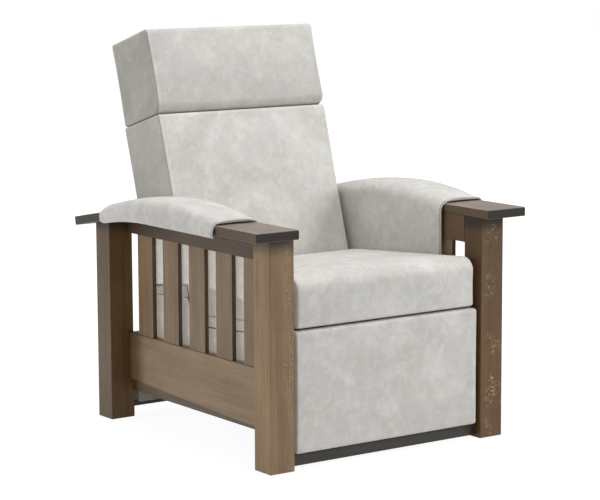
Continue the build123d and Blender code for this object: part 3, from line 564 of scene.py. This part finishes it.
# "stitchRows" are places beside the topstitch with the share of its depth there. The edges turn in
# "edgeSteps", with a seam at one of them, and "seamStrip" counts strips of faces from the end.
sewing = {
    "frames": 16,
    "seam": 0.0016,
    "topstitch": 0.0011,
    "inset": 0.0095,
    "clear": 0.007,
    "stitchRows": ((-0.0045, 0), (-0.0016, 0.25), (0.0, 1.0), (0.0016, 0.25), (0.0042, 0)),
    "arcSteps": 3,
    "edgeSteps": 4,
    "seamStep": 3,
    "seamStrip": 2,
    "weld": 0.00002,
    "sideEase": (0.006, 0.045),
    "capEase": (0.004, 0.035),
    "ridge": 0.0008,
    "ridgeScales": (9.0, 23.0),
    "endFacing": 0.72,
    "paleBelow": 0.45,
}
coverSlots = {"front": 0, "ends": 1, "pale": 2, "seams": 3}
fabric = {
    "quality": 6,
    "mass": 0.25,
    "tension_stiffness": 25,
    "compression_stiffness": 25,
    "shear_stiffness": 10,
    "bending_stiffness": 1.5,
    "air_damping": 2.0,
    "pin_stiffness": 5.0,
}


def hump(share):
    return max(0.0, 1.0 - (2.0 * share - 1.0) ** 2)


def easeIn(value, low, high):
    t = min(max((value - low) / (high - low), 0.0), 1.0)
    return t * t * (3 - 2 * t)


# How far a quarter circle has fallen away, from 0 to 1
def fallAway(t):
    return 1 - math.sqrt(max(1 - t * t, 0.0))


# One corner of a profile: its middle, and the points where the arc starts and ends
def cornerArc(before, corner, after, radius):
    toward, away = (before - corner).normalized(), (after - corner).normalized()
    half = toward.angle(away) / 2
    middle = corner + (toward + away).normalized() * (radius / math.sin(half))
    reach = radius / math.tan(half)
    return middle, corner + toward * reach, corner + away * reach


# The four sides of a profile, each a list of (point, outward normal, share of the way along)
def profileSides(values):
    corners = [Vector(corner) for corner in values["corners"]]
    rounds = values["rounds"]
    arcs = [
        cornerArc(corners[i - 1], corners[i], corners[(i + 1) % 4], rounds[i]) for i in range(4)
    ]
    centre = (corners[0] + corners[2]) / 2
    turns = sewing["arcSteps"]
    sides = []
    for i in range(4):
        j = (i + 1) % 4
        here, there = arcs[i], arcs[j]
        count = values["steps"][i % 2]
        start, end = here[2], there[1]
        line = (end - start).normalized()
        normal = Vector((-line.y, line.x))
        if normal.dot(start - centre) < 0:
            normal = -normal
        side = []
        for k in range(turns):
            bent = (normal - line * math.tan(math.pi / 4 * (1 - k / turns))).normalized()
            side.append((here[0] + bent * rounds[i], bent, 0.0))
        for k in range(count + 1):
            side.append((start.lerp(end, k / count), normal, k / count))
        for k in range(1, turns + 1):
            bent = (normal + line * math.tan(math.pi / 4 * k / turns)).normalized()
            side.append((there[0] + bent * rounds[j], bent, 1.0))
        sides.append(side)
    return sides


# Places across the width, as (place, inset of the profile, depth of the seam there)
def widthStations(values):
    half, edge = values["half"], values["edge"]
    count = values["steps"][2]
    flat = half - edge
    stitch = half - sewing["inset"] - edge if values["stitched"] else None
    rows = []
    for k in range(count // 2 + 1):
        x = flat * k / (count // 2)
        if stitch is None or abs(x - stitch) > sewing["clear"]:
            rows.append((x, 0.0, 0.0))
    if stitch is not None:
        for gap, depth in sewing["stitchRows"]:
            rows.append((stitch + gap, 0.0, depth * sewing["topstitch"]))
    for k in range(1, sewing["edgeSteps"] + 1):
        angle = math.pi / 2 * k / sewing["edgeSteps"]
        depth = sewing["seam"] if k == sewing["seamStep"] else 0.0
        rows.append((flat + edge * math.sin(angle), edge * (1 - math.cos(angle)), depth))
    rows.sort()
    return [(-x, inset, depth) for x, inset, depth in reversed(rows[1:])] + rows


def coverMesh(values):
    half = values["half"]
    sides = profileSides(values)
    builder = bmesh.new()
    held = builder.verts.layers.float.new("held")
    sewn = builder.verts.layers.float.new("sewn")
    lengths = [sum((a[0] - b[0]).length for a, b in zip(side, side[1:])) for side in sides]

    def looseness(i, share, x):
        near = share * lengths[i]
        far = (1 - share) * lengths[i]
        if values.get("openCorner") and i == 0:
            far = 1.0
        if values.get("openCorner") and i == 1:
            near = 1.0
        free = values["loose"].get(sideNames[i], 0.0)
        return free * easeIn(min(near, far, half - abs(x)), *sewing["sideEase"])

    def width(i, share):
        return 1.0 - values["pull"][i % 2] * hump(share) / half

    rows = []
    for x, inset, depth in widthStations(values):
        row = []
        for i, side in enumerate(sides):
            inSeam = inset > 0 or i in values["stitched"]
            for point, normal, share in side[:-1]:
                fullness = values["bulges"][i] * hump(share) * (1 - (x / half) ** 4)
                place = point + normal * (fullness - inset)
                vert = builder.verts.new((x * width(i, share), place.x, place.y))
                vert[held] = 1.0 - looseness(i, share, x)
                vert[sewn] = depth if inSeam else 0.0
                row.append(vert)
        rows.append(row)
    seamStrips = (sewing["seamStrip"], len(rows) - 2 - sewing["seamStrip"])
    for n, (first, second) in enumerate(zip(rows, rows[1:])):
        inSeam = values["stitched"] and n in seamStrips
        for k in range(len(first)):
            m = (k + 1) % len(first)
            face = builder.faces.new((first[k], first[m], second[m], second[k]))
            face.material_index = coverSlots["seams" if inSeam else "front"]
    for ring in (rows[0], rows[-1]):
        fillCap(builder, held, values, sides, ring, lengths)
    bmesh.ops.remove_doubles(builder, verts=builder.verts[:], dist=sewing["weld"])
    return builder


# A cap is blended from its four edges
def fillCap(builder, held, values, sides, ring, lengths):
    counts = [len(side) - 1 for side in sides]
    starts = [sum(counts[:i]) for i in range(4)]

    def edgeOf(i):
        return [ring[(starts[i] + k) % len(ring)] for k in range(counts[i] + 1)]

    def shares(edge):
        far = [0.0]
        for a, b in zip(edge, edge[1:]):
            far.append(far[-1] + (a.co - b.co).length)
        return [d / far[-1] for d in far]

    left, top = edgeOf(0), edgeOf(1)
    right, low = edgeOf(2)[::-1], edgeOf(3)[::-1]
    across = [(a + b) / 2 for a, b in zip(shares(top), shares(low))]
    upward = [(a + b) / 2 for a, b in zip(shares(left), shares(right))]
    free = values["loose"].get("ends", 0.0)
    grid = []
    for j, v in enumerate(upward):
        line = []
        for i, u in enumerate(across):
            if i == 0:
                line.append(left[j])
            elif i == len(across) - 1:
                line.append(right[j])
            elif j == 0:
                line.append(low[i])
            elif j == len(upward) - 1:
                line.append(top[i])
            else:
                place = left[j].co * (1 - u) + right[j].co * u
                place += low[i].co * (1 - v) + top[i].co * v
                place -= left[0].co * (1 - u) * (1 - v) + right[0].co * u * (1 - v)
                place -= left[-1].co * (1 - u) * v + right[-1].co * u * v
                vert = builder.verts.new(place)
                near = min(min(u, 1 - u) * lengths[1], min(v, 1 - v) * lengths[0])
                vert[held] = 1.0 - free * easeIn(near, *sewing["capEase"])
                line.append(vert)
        grid.append(line)
    for first, second in zip(grid, grid[1:]):
        for i in range(len(first) - 1):
            builder.faces.new((first[i], first[i + 1], second[i + 1], second[i]))


def placed(name, data):
    thing = bpy.data.objects.new(name, data)
    bpy.context.scene.collection.objects.link(thing)
    return thing


def newPiece(name, builder):
    bmesh.ops.recalc_face_normals(builder, faces=builder.faces[:])
    mesh = bpy.data.meshes.new(name)
    builder.to_mesh(mesh)
    builder.free()
    return placed(name, mesh)


def smoothOnce(piece):
    fine = piece.modifiers.new("fine", "SUBSURF")
    fine.levels = 1
    fine.render_levels = 1
    shape = piece.evaluated_get(bpy.context.evaluated_depsgraph_get())
    mesh = bpy.data.meshes.new_from_object(shape)
    piece.modifiers.clear()
    old = piece.data
    piece.data = mesh
    bpy.data.meshes.remove(old)


def addCloth(piece, pressure):
    grip = piece.vertex_groups.new(name="held by seams")
    for vertex, hold in zip(piece.data.vertices, piece.data.attributes["held"].data):
        grip.add([vertex.index], hold.value, "REPLACE")
    filling = piece.modifiers.new("cover", "CLOTH")
    settings = filling.settings
    for key, value in fabric.items():
        setattr(settings, key, value)
    settings.use_pressure = True
    settings.uniform_pressure_force = pressure
    settings.vertex_group_mass = grip.name
    settings.effector_weights.gravity = 0.0
    filling.collision_settings.use_collision = False
    filling.collision_settings.use_self_collision = False
    filling.point_cache.frame_start = 1
    filling.point_cache.frame_end = sewing["frames"]


# The covers are filled together, and no point moves further than its cap
def fillCovers(covers):
    starts = {}
    for name, piece in covers.items():
        starts[name] = [vertex.co.copy() for vertex in piece.data.vertices]
        addCloth(piece, foamBlocks[name]["pressure"])
    for step in range(1, sewing["frames"] + 1):
        bpy.context.scene.frame_set(step)
    shapes = bpy.context.evaluated_depsgraph_get()
    ends = {}
    for name, piece in covers.items():
        filled = piece.evaluated_get(shapes).data
        ends[name] = [vertex.co.copy() for vertex in filled.vertices]
    for name, piece in covers.items():
        piece.modifiers.clear()
        piece.vertex_groups.clear()
        limit = foamBlocks[name]["cap"]
        furthest = 0.0
        for vertex, start, end in zip(piece.data.vertices, starts[name], ends[name]):
            move = end - start
            furthest = max(furthest, move.length)
            if move.length > 0:
                move *= limit * math.tanh(move.length / limit) / move.length
            vertex.co = start + move
        print("filled", name, "furthest move", round(furthest * 1000, 1), "mm before its cap")
    bpy.context.scene.frame_set(1)


# Seams are pressed in after the filling, and foam is never quite even
def sewAndSmooth(piece):
    mesh = piece.data
    normals = [vertex.normal.copy() for vertex in mesh.vertices]
    depths = [entry.value for entry in mesh.attributes["sewn"].data]
    free = [1.0 - entry.value for entry in mesh.attributes["held"].data]
    wide, narrow = sewing["ridgeScales"]
    for vertex, normal, depth, loose in zip(mesh.vertices, normals, depths, free):
        uneven = noise.noise(vertex.co * wide) + 0.5 * noise.noise(vertex.co * narrow)
        vertex.co += normal * (uneven * sewing["ridge"] * loose - depth)
    mesh.update()
    smoothOnce(piece)
    for name in ("held", "sewn"):
        piece.data.attributes.remove(piece.data.attributes[name])


def dress(piece, body, nodes, finish):
    piece.data.materials.clear()
    piece.data.materials.append(finish)
    piece.data.shade_smooth()
    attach(piece, body)
    if nodes:
        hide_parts(*nodes)


covers = {name: newPiece(name, coverMesh(values)) for name, values in foamBlocks.items()}
print("covers cut:", {name: len(piece.data.vertices) for name, piece in covers.items()})
fillCovers(covers)
for name, piece in covers.items():
    values = foamBlocks[name]
    sewAndSmooth(piece)
    # Clearing the materials sets every face back to the first one, so the seams are noted before
    inSeams = [face.material_index == coverSlots["seams"] for face in piece.data.polygons]
    onFront, onEnds = values["cloths"]
    dress(piece, values["body"], [values["node"]], onFront)
    for extra in (onEnds, paintedLightCloth, seamCloth):
        piece.data.materials.append(extra)
    # End faces take the ends' finish, in painted shade on the back and the headrest; low down,
    # where they show between the slats, they take the suede with painted light
    for face, inSeam in zip(piece.data.polygons, inSeams):
        if inSeam:
            face.material_index = coverSlots["seams"]
        elif abs(face.normal.x) > sewing["endFacing"]:
            pale = face.center.z < sewing["paleBelow"] and onEnds != cloth
            face.material_index = coverSlots["pale" if pale else "ends"]
    print(name, "has", sum(inSeams), "faces in its seams")
print("cushions sewn and on their bodies")

# Arm covers: one cover wraps the board's top and outer edge and hangs down inside the arm
armBoard = {
    "under": 0.6045,
    "thick": 0.0245,
    "outer": 0.4400,
    "bendStart": 0.0445,
    "bendRun": 0.2,
    "drop": 10.5,
}
# "deckShares" are the parts of the board's width under the outer and the inner round. The front
# edge turns over "frontEdge" and thins over the reach in "edgeThin", the rear end over "nose".
armCover = {
    "front": -0.2915,
    "length": 0.577,
    "frontRise": 0.009,
    "crownRise": 0.036,
    "rearRise": 0.015,
    "crownShare": 0.42,
    "outer": 0.4448,
    "inner": 0.2961,
    "panel": 0.0111,
    "clear": 0.0003,
    "lipDrop": 0.0080,
    "outerRound": 0.020,
    "roundLimit": 0.45,
    "innerRound": 0.032,
    "bulge": 0.0035,
    "bulgePower": 0.8,
    "crown": 0.0030,
    "deckShares": (0.12, 0.82),
    "frontEdge": 0.0035,
    "frontInset": 0.8,
    "edgeThin": (0.016, 0.55),
    "nose": 0.037,
    "noseTip": 0.12,
    "noseLift": 0.017,
    "noseAngles": (0, 15, 30, 45, 58, 70, 80),
    "frontPlaces": (0.0, 0.0006, 0.0018, 0.0035, 0.008),
    "evenFrom": 0.011,
    "evenTo": 0.004,
    "drops": (0.205, 0.184, 0.222),
    "stations": 72,
    "points": (9, 16, 20),
    "bends": 5,
    "uneven": 0.0008,
    "unevenScale": 11.0,
    "unevenFrom": 0.004,
    "seamStrip": 2,
    "panelWithin": 0.3095,
    "panelFacing": 0.6,
    "fill": 0.9,
}
armSlots = {"cloth": 0, "panel": 1, "seam": 2}


def boardUnder(y):
    turn = math.radians(armBoard["drop"])
    radius = armBoard["bendRun"] / math.sin(turn)
    run = y - armBoard["bendStart"]
    if run <= 0:
        return armBoard["under"]
    if run <= armBoard["bendRun"]:
        return armBoard["under"] - radius + math.sqrt(radius ** 2 - run ** 2)
    bent = armBoard["under"] - radius * (1 - math.cos(turn))
    return bent - (run - armBoard["bendRun"]) * math.tan(turn)


# The height at y of the circle through three (y, z) points
def throughThree(a, b, c, y):
    (ay, az), (by, bz), (cy, cz) = a, b, c
    slant = 2 * (ay * (bz - cz) + by * (cz - az) + cy * (az - bz))
    sa, sb, sc = ay ** 2 + az ** 2, by ** 2 + bz ** 2, cy ** 2 + cz ** 2
    my = (sa * (bz - cz) + sb * (cz - az) + sc * (az - bz)) / slant
    mz = (sa * (cy - by) + sb * (ay - cy) + sc * (by - ay)) / slant
    radius = math.hypot(ay - my, az - mz)
    return mz + math.copysign(math.sqrt(max(radius ** 2 - (y - my) ** 2, 0.0)), bz - mz)


def padTop(y):
    front, length = armCover["front"], armCover["length"]
    deck = armBoard["under"] + armBoard["thick"]
    rear = boardUnder(front + length) + armBoard["thick"] + armCover["rearRise"]
    crownAt = front + armCover["crownShare"] * length
    first, crown = (front, deck + armCover["frontRise"]), (crownAt, deck + armCover["crownRise"])
    return throughThree(first, crown, (front + length, rear), y)


def panelLow(y):
    front, length = armCover["front"], armCover["length"]
    places = [
        (front + share * length, armBoard["under"] - drop)
        for share, drop in zip((0, 0.5, 1), armCover["drops"])
    ]
    return throughThree(*places, y)


# The cover's section at y, as matching outer and inner lines, from the lip over the top to the
# panel's foot
def coverSection(y):
    under, high, low = boardUnder(y), padTop(y), panelLow(y)
    deck = under + armBoard["thick"] + armCover["clear"]
    outer, inner = armCover["outer"], armCover["inner"]
    wall, hang = armBoard["outer"] + armCover["clear"], inner + armCover["panel"]
    toNose = min((armCover["front"] + armCover["length"] - y) / armCover["nose"], 1.0)
    foot = under - armCover["lipDrop"] + armCover["noseLift"] * fallAway(1 - toNose)
    outerRound = min(armCover["outerRound"], (high - foot) * armCover["roundLimit"])
    innerRound = armCover["innerRound"]
    left, right = outer - outerRound, inner + innerRound
    firstShare, lastShare = armCover["deckShares"]
    sideSteps, topSteps, panelSteps = armCover["points"]
    bends = armCover["bends"]
    outerLine, innerLine = [], []

    def add(x, z, within):
        outerLine.append(Vector((x, z)))
        innerLine.append(Vector(within))

    def onDeck(share):
        return wall - (wall - hang) * share, deck

    for k in range(sideSteps):
        t = k / sideSteps
        x = outer + armCover["bulge"] * math.sin(math.pi * t) ** armCover["bulgePower"]
        add(x, foot + (high - outerRound - foot) * t, (wall, foot + (deck - foot) * t))
    for k in range(bends):
        t = k / bends
        angle = math.pi / 2 * t
        x = outer - outerRound * (1 - math.cos(angle))
        add(x, high - outerRound * (1 - math.sin(angle)), onDeck(firstShare * t))
    for k in range(topSteps):
        t = k / topSteps
        within = onDeck(firstShare + (lastShare - firstShare) * t)
        add(left + (right - left) * t, high + armCover["crown"] * hump(t), within)
    for k in range(bends):
        t = k / bends
        angle = math.pi / 2 * t
        x = inner + innerRound * (1 - math.sin(angle))
        z = high - innerRound * (1 - math.cos(angle))
        add(x, z, onDeck(lastShare + (1 - lastShare) * t))
    for k in range(panelSteps + 1):
        t = k / panelSteps
        z = high - innerRound + (low - high + innerRound) * t
        add(inner, z, (hang, deck + (low - deck) * t))
    return outerLine, innerLine


# How full the cover is at y, and how far it is drawn in: its front edge is rounded a little, and
# its rear end is a round nose
def fullnessAt(y):
    fromFront = y - armCover["front"]
    fromRear = armCover["front"] + armCover["length"] - y
    share, inset = 1.0, 0.0
    if fromRear < armCover["nose"]:
        tip = armCover["noseTip"]
        share = tip + (1 - tip) * (1 - fallAway(1 - fromRear / armCover["nose"]))
    if fromFront < armCover["frontEdge"]:
        edge = armCover["frontEdge"]
        inset = edge * armCover["frontInset"] * fallAway(1 - fromFront / edge)
    return share, inset


def coverStations():
    front, length, nose = armCover["front"], armCover["length"], armCover["nose"]
    rear = front + length
    places = {rear} | {front + place for place in armCover["frontPlaces"]}
    places |= {rear - nose * (1 - math.sin(math.radians(a))) for a in armCover["noseAngles"]}
    count = armCover["stations"]
    for k in range(count + 1):
        y = front + length * k / count
        if front + armCover["evenFrom"] < y < rear - nose - armCover["evenTo"]:
            places.add(y)
    return sorted(places)


def armCoverMesh(way):
    builder = bmesh.new()
    reach, thin = armCover["edgeThin"]
    rows = []
    for y in coverStations():
        outerLine, innerLine = coverSection(y)
        share, inset = fullnessAt(y)
        nearFront = max(1 - (y - armCover["front"]) / reach, 0.0)
        outerRow, innerRow = [], []
        last = len(outerLine) - 1
        for k, (out, within) in enumerate(zip(outerLine, innerLine)):
            ahead = outerLine[min(k + 1, last)] - outerLine[max(k - 1, 0)]
            normal = Vector((-ahead.y, ahead.x)).normalized()
            if normal.dot(out - within) < 0:
                normal = -normal
            place = within + (out - within) * share - normal * inset
            within = within.lerp(place, thin * math.sqrt(nearFront))
            outerRow.append(builder.verts.new((place.x * way, y, place.y)))
            innerRow.append(builder.verts.new((within.x * way, y, within.y)))
        rows.append((outerRow, innerRow))
    for n, ((outA, inA), (outB, inB)) in enumerate(zip(rows, rows[1:])):
        for k in range(len(outA) - 1):
            face = builder.faces.new((outA[k], outA[k + 1], outB[k + 1], outB[k]))
            face.material_index = armSlots["seam" if n == armCover["seamStrip"] else "cloth"]
            builder.faces.new((inA[k + 1], inA[k], inB[k], inB[k + 1]))
        builder.faces.new((inA[0], outA[0], outB[0], inB[0]))
        builder.faces.new((outA[-1], inA[-1], inB[-1], outB[-1]))
    for outer, inner in (rows[0], rows[-1]):
        for k in range(len(outer) - 1):
            builder.faces.new((outer[k], inner[k], inner[k + 1], outer[k + 1]))
    return builder


# A round cord, sewn along the cover's front edge: "ahead" is a share of its radius
piping = {"radius": 0.0022, "sides": 8, "ahead": 0.35, "tuck": 0.10}


def pipingMesh(way):
    outerLine, innerLine = coverSection(armCover["front"])
    radius, turns = piping["radius"], piping["sides"]
    y = armCover["front"] - radius * piping["ahead"]
    path = []
    for out, within in zip(outerLine, innerLine):
        place = Vector((out.x * way, y, out.y))
        path.append(place.lerp(Vector((within.x * way, y, within.y)), piping["tuck"]))
    builder = bmesh.new()
    rings = []
    for k, place in enumerate(path):
        ahead = (path[min(k + 1, len(path) - 1)] - path[max(k - 1, 0)]).normalized()
        side = ahead.cross(Vector((0, 1, 0))).normalized()
        up = side.cross(ahead)
        ring = []
        for m in range(turns):
            angle = math.tau * m / turns
            outward = side * math.cos(angle) + up * math.sin(angle)
            ring.append(builder.verts.new(place + outward * radius))
        rings.append(ring)
    for first, second in zip(rings, rings[1:]):
        for m in range(turns):
            n = (m + 1) % turns
            builder.faces.new((first[m], first[n], second[n], second[m]))
    builder.faces.new(rings[0])
    builder.faces.new(rings[-1])
    return builder


unevenAbove = armBoard["under"] + armBoard["thick"] + armCover["unevenFrom"]
for side, way in (("left", -1), ("right", 1)):
    cover = newPiece(f"arm_cover_{side}", armCoverMesh(way))
    for vertex in cover.data.vertices:
        if vertex.co.z > unevenAbove:
            ridge = noise.noise(vertex.co * armCover["unevenScale"])
            vertex.co.z += ridge * armCover["uneven"]
    smoothOnce(cover)
    inSeams = [face.material_index == armSlots["seam"] for face in cover.data.polygons]
    nodes = [f"arm_pad_{side}", f"inner_arm_panel_{side}"]
    dress(cover, "frame", nodes, cloth)
    cover.data.materials.append(paintedLightCloth)
    cover.data.materials.append(seamCloth)
    # The hanging panel's outer side takes the suede with painted light, and shows pale between the
    # slats
    for face, inSeam in zip(cover.data.polygons, inSeams):
        below = face.center.z < armBoard["under"]
        within = abs(face.center.x) < armCover["panelWithin"]
        outward = face.normal.x * way > armCover["panelFacing"]
        if inSeam:
            face.material_index = armSlots["seam"]
        elif below and within and outward:
            face.material_index = armSlots["panel"]
    cord = newPiece(f"arm_piping_{side}", pipingMesh(way))
    smoothOnce(cord)
    dress(cord, "frame", [], cloth)
print("arm covers on the arms")

# Thin covers on the sides of the seat box, which run on past the back, with the cushion's side
# seam along them. "levels" are drops from the top edge, and "seam" counts those in the groove.
seatSide = {
    "front": -0.4115,
    "rear": 0.2440,
    "railRear": 0.0597,
    "step": 0.0690,
    "low": 0.240,
    "highFront": 0.3654,
    "highStep": 0.3800,
    "fall": 4.4,
    "x": (0.2889, 0.2929),
    "besideSteps": 46,
    "behindSteps": 18,
    "lowSteps": 7,
    "levels": (
        -0.0056, -0.0040, 0.0, 0.008, 0.016, 0.0212,
        0.0226, 0.0231, 0.0249, 0.0254, 0.0268, 0.034,
    ),
    "seam": (7, 8),
    "seamDepth": 0.0036,
    "rim": 0.0012,
    "darkAbove": 0.27,
    "darkDepths": (0.0018, 0.0039),
    "fill": 0.95,
}


def seatSideTop(y):
    fall = math.tan(math.radians(seatSide["fall"]))
    if y <= seatSide["railRear"]:
        return seatSide["highFront"] - (y - seatSide["front"]) * fall
    if y <= seatSide["step"]:
        low = seatSideTop(seatSide["railRear"])
        share = (y - seatSide["railRear"]) / (seatSide["step"] - seatSide["railRear"])
        return low + (seatSide["highStep"] - low) * share
    return seatSide["highStep"] - (y - seatSide["step"]) * fall


def seatSidePlaces():
    stretches = (
        (seatSide["front"], seatSide["railRear"], seatSide["besideSteps"]),
        (seatSide["step"], seatSide["rear"], seatSide["behindSteps"]),
    )
    return [s + (e - s) * k / count for s, e, count in stretches for k in range(count + 1)]


def seatSideLevels(y):
    drops = seatSide["levels"]
    lowest = seatSideTop(min(y, seatSide["railRear"])) - drops[-1]
    if y <= seatSide["railRear"]:
        levels = [seatSideTop(y) - drop for drop in drops]
    else:
        high, count = seatSideTop(y), len(drops) - 1
        levels = [high + (lowest - high) * k / count for k in range(count + 1)]
    count = seatSide["lowSteps"]
    return levels + [lowest + (seatSide["low"] - lowest) * k / count for k in range(1, count + 1)]


def seatSideMesh():
    builder = bmesh.new()
    near, far = seatSide["x"]
    places = seatSidePlaces()
    for way in (-1, 1):
        grid = []
        for i, y in enumerate(places):
            levels = seatSideLevels(y)
            line = []
            for j, z in enumerate(levels):
                onRim = 0 in (i, j) or i == len(places) - 1 or j == len(levels) - 1
                x = far - (seatSide["rim"] if onRim else 0.0)
                if j in seatSide["seam"] and y <= seatSide["railRear"]:
                    x -= seatSide["seamDepth"]
                outer = builder.verts.new((x * way, y, z))
                line.append((outer, builder.verts.new((near * way, y, z))))
            grid.append(line)
        rows, columns = len(grid[0]) - 1, len(grid) - 1
        for i in range(columns):
            for j in range(rows):
                corners = (grid[i][j], grid[i + 1][j], grid[i + 1][j + 1], grid[i][j + 1])
                for layer in (0, 1):
                    builder.faces.new([corner[layer] for corner in corners])
            for j in (0, rows):
                first, second = grid[i][j], grid[i + 1][j]
                builder.faces.new((first[0], second[0], second[1], first[1]))
        for j in range(rows):
            for i in (0, columns):
                first, second = grid[i][j], grid[i][j + 1]
                builder.faces.new((first[0], second[0], second[1], first[1]))
    return builder


sideCovers = newPiece("seat_box_covers", seatSideMesh())
smoothOnce(sideCovers)
# The seat box covers take the suede painted lighter, as painted light
dress(sideCovers, "seat", ["seat_side_covers"], paintedLightCloth)
sideCovers.data.materials.append(slotFinishes["webbing"])
shallow, deep = seatSide["darkDepths"]
for face in sideCovers.data.polygons:
    depth = seatSide["x"][1] - abs(face.center.x)
    inGroove = face.center.z > seatSide["darkAbove"] and shallow < depth < deep
    face.material_index = int(inGroove)
print("seat box covered")

# Camera at the photograph's angle
shot = {
    "place": (-3.4555, -4.9412, 1.3919),
    "target": (-0.0092, -0.0595, 0.5012),
    "roll": -0.25,
    "lens": 132.0,
    "sensor": 36.0,
    "sees": 60.0,
}


def placeCamera():
    lens = bpy.data.cameras.new("photo camera")
    lens.sensor_width = shot["sensor"]
    lens.lens = shot["lens"]
    lens.clip_end = shot["sees"]
    camera = placed("photo camera", lens)
    way = Vector(shot["target"]) - Vector(shot["place"])
    turn = way.to_track_quat("-Z", "Y").to_matrix().to_4x4()
    roll = Matrix.Rotation(math.radians(shot["roll"]), 4, "Z")
    camera.matrix_world = Matrix.Translation(shot["place"]) @ turn @ roll
    bpy.context.scene.camera = camera


placeCamera()
print("camera placed")

# Pale floor, white surroundings for the camera, soft studio lamps
studio = {
    "floor": (0.80, 0.80, 0.80),
    "floorSize": 9.0,
    "floorRoughness": 0.9,
    "floorShares": (0.78, 1.0),
    "fadeFrom": (0.9, 2.3),
    "floorGlow": 1.2,
    "world": 0.27,
    "aim": (0, 0, 0.5),
    "lamps": {
        "key": {"place": (3.0, -3.8, 2.6), "size": 2.0, "watts": 112.0},
        "side": {"place": (-3.8, 1.3, 1.1), "size": 1.6, "watts": 46.0},
        "top": {"place": (0.0, -0.4, 4.0), "size": 2.4, "watts": 88.0},
    },
}


def blendInto(tree, output, share, first, second):
    inputs = {0: share, 1: first.outputs[0], 2: second.outputs[0]}
    tree.links.new(addNode(tree, "MixShader", inputs).outputs[0], output.inputs["Surface"])


# The floor fades to plain white for the camera, and for what mirrors or passes its rays
def floorFinish():
    finish, tree, shader, coords = startFinish("pale floor")
    fillInputs(tree, shader, {
        "Base Color": (*studio["floor"], 1),
        "Roughness": studio["floorRoughness"],
    })
    paths = addNode(tree, "LightPath", {})
    seen = paths.outputs["Is Camera Ray"]
    for way in ("Is Glossy Ray", "Is Transmission Ray"):
        seen = mathOf(tree, "MAXIMUM", seen, paths.outputs[way])
    glow = {"Color": (1, 1, 1, 1), "Strength": studio["floorGlow"]}
    white = addNode(tree, "Emission", glow)
    distance = addNode(tree, "VectorMath", {0: coords.outputs["Object"]}, operation="LENGTH")
    fade = ranged(tree, distance.outputs["Value"], *studio["floorShares"], *studio["fadeFrom"])
    share = mathOf(tree, "MULTIPLY", seen, fade)
    blendInto(tree, tree.nodes["Material Output"], share, shader, white)
    return finish


def layFloor():
    mesh = bpy.data.meshes.new("studio floor")
    builder = bmesh.new()
    bmesh.ops.create_grid(builder, x_segments=8, y_segments=8, size=studio["floorSize"])
    builder.to_mesh(mesh)
    builder.free()
    floor = placed("studio_floor", mesh)
    mesh.materials.append(floorFinish())


def setWorld():
    world = bpy.data.worlds.new("studio")
    bpy.context.scene.world = world
    world.use_nodes = True
    tree = world.node_tree
    tree.nodes.clear()
    light, shown = (
        addNode(tree, "Background", {"Color": (1, 1, 1, 1), "Strength": strength})
        for strength in (studio["world"], 1.0)
    )
    forCamera = addNode(tree, "LightPath", {}).outputs["Is Camera Ray"]
    blendInto(tree, addNode(tree, "OutputWorld", {}), forCamera, light, shown)


def hangLamps():
    for name, values in studio["lamps"].items():
        lamp = bpy.data.lights.new(name + " lamp", "AREA")
        lamp.shape = "DISK"
        lamp.size = values["size"]
        lamp.energy = values["watts"]
        holder = placed(name + " lamp", lamp)
        holder.location = values["place"]
        aim = Vector(studio["aim"]) - Vector(values["place"])
        holder.rotation_euler = aim.to_track_quat("-Z", "Y").to_euler()


layFloor()
setWorld()
hangLamps()
bpy.context.scene.view_settings.view_transform = "Standard"
print("studio set")
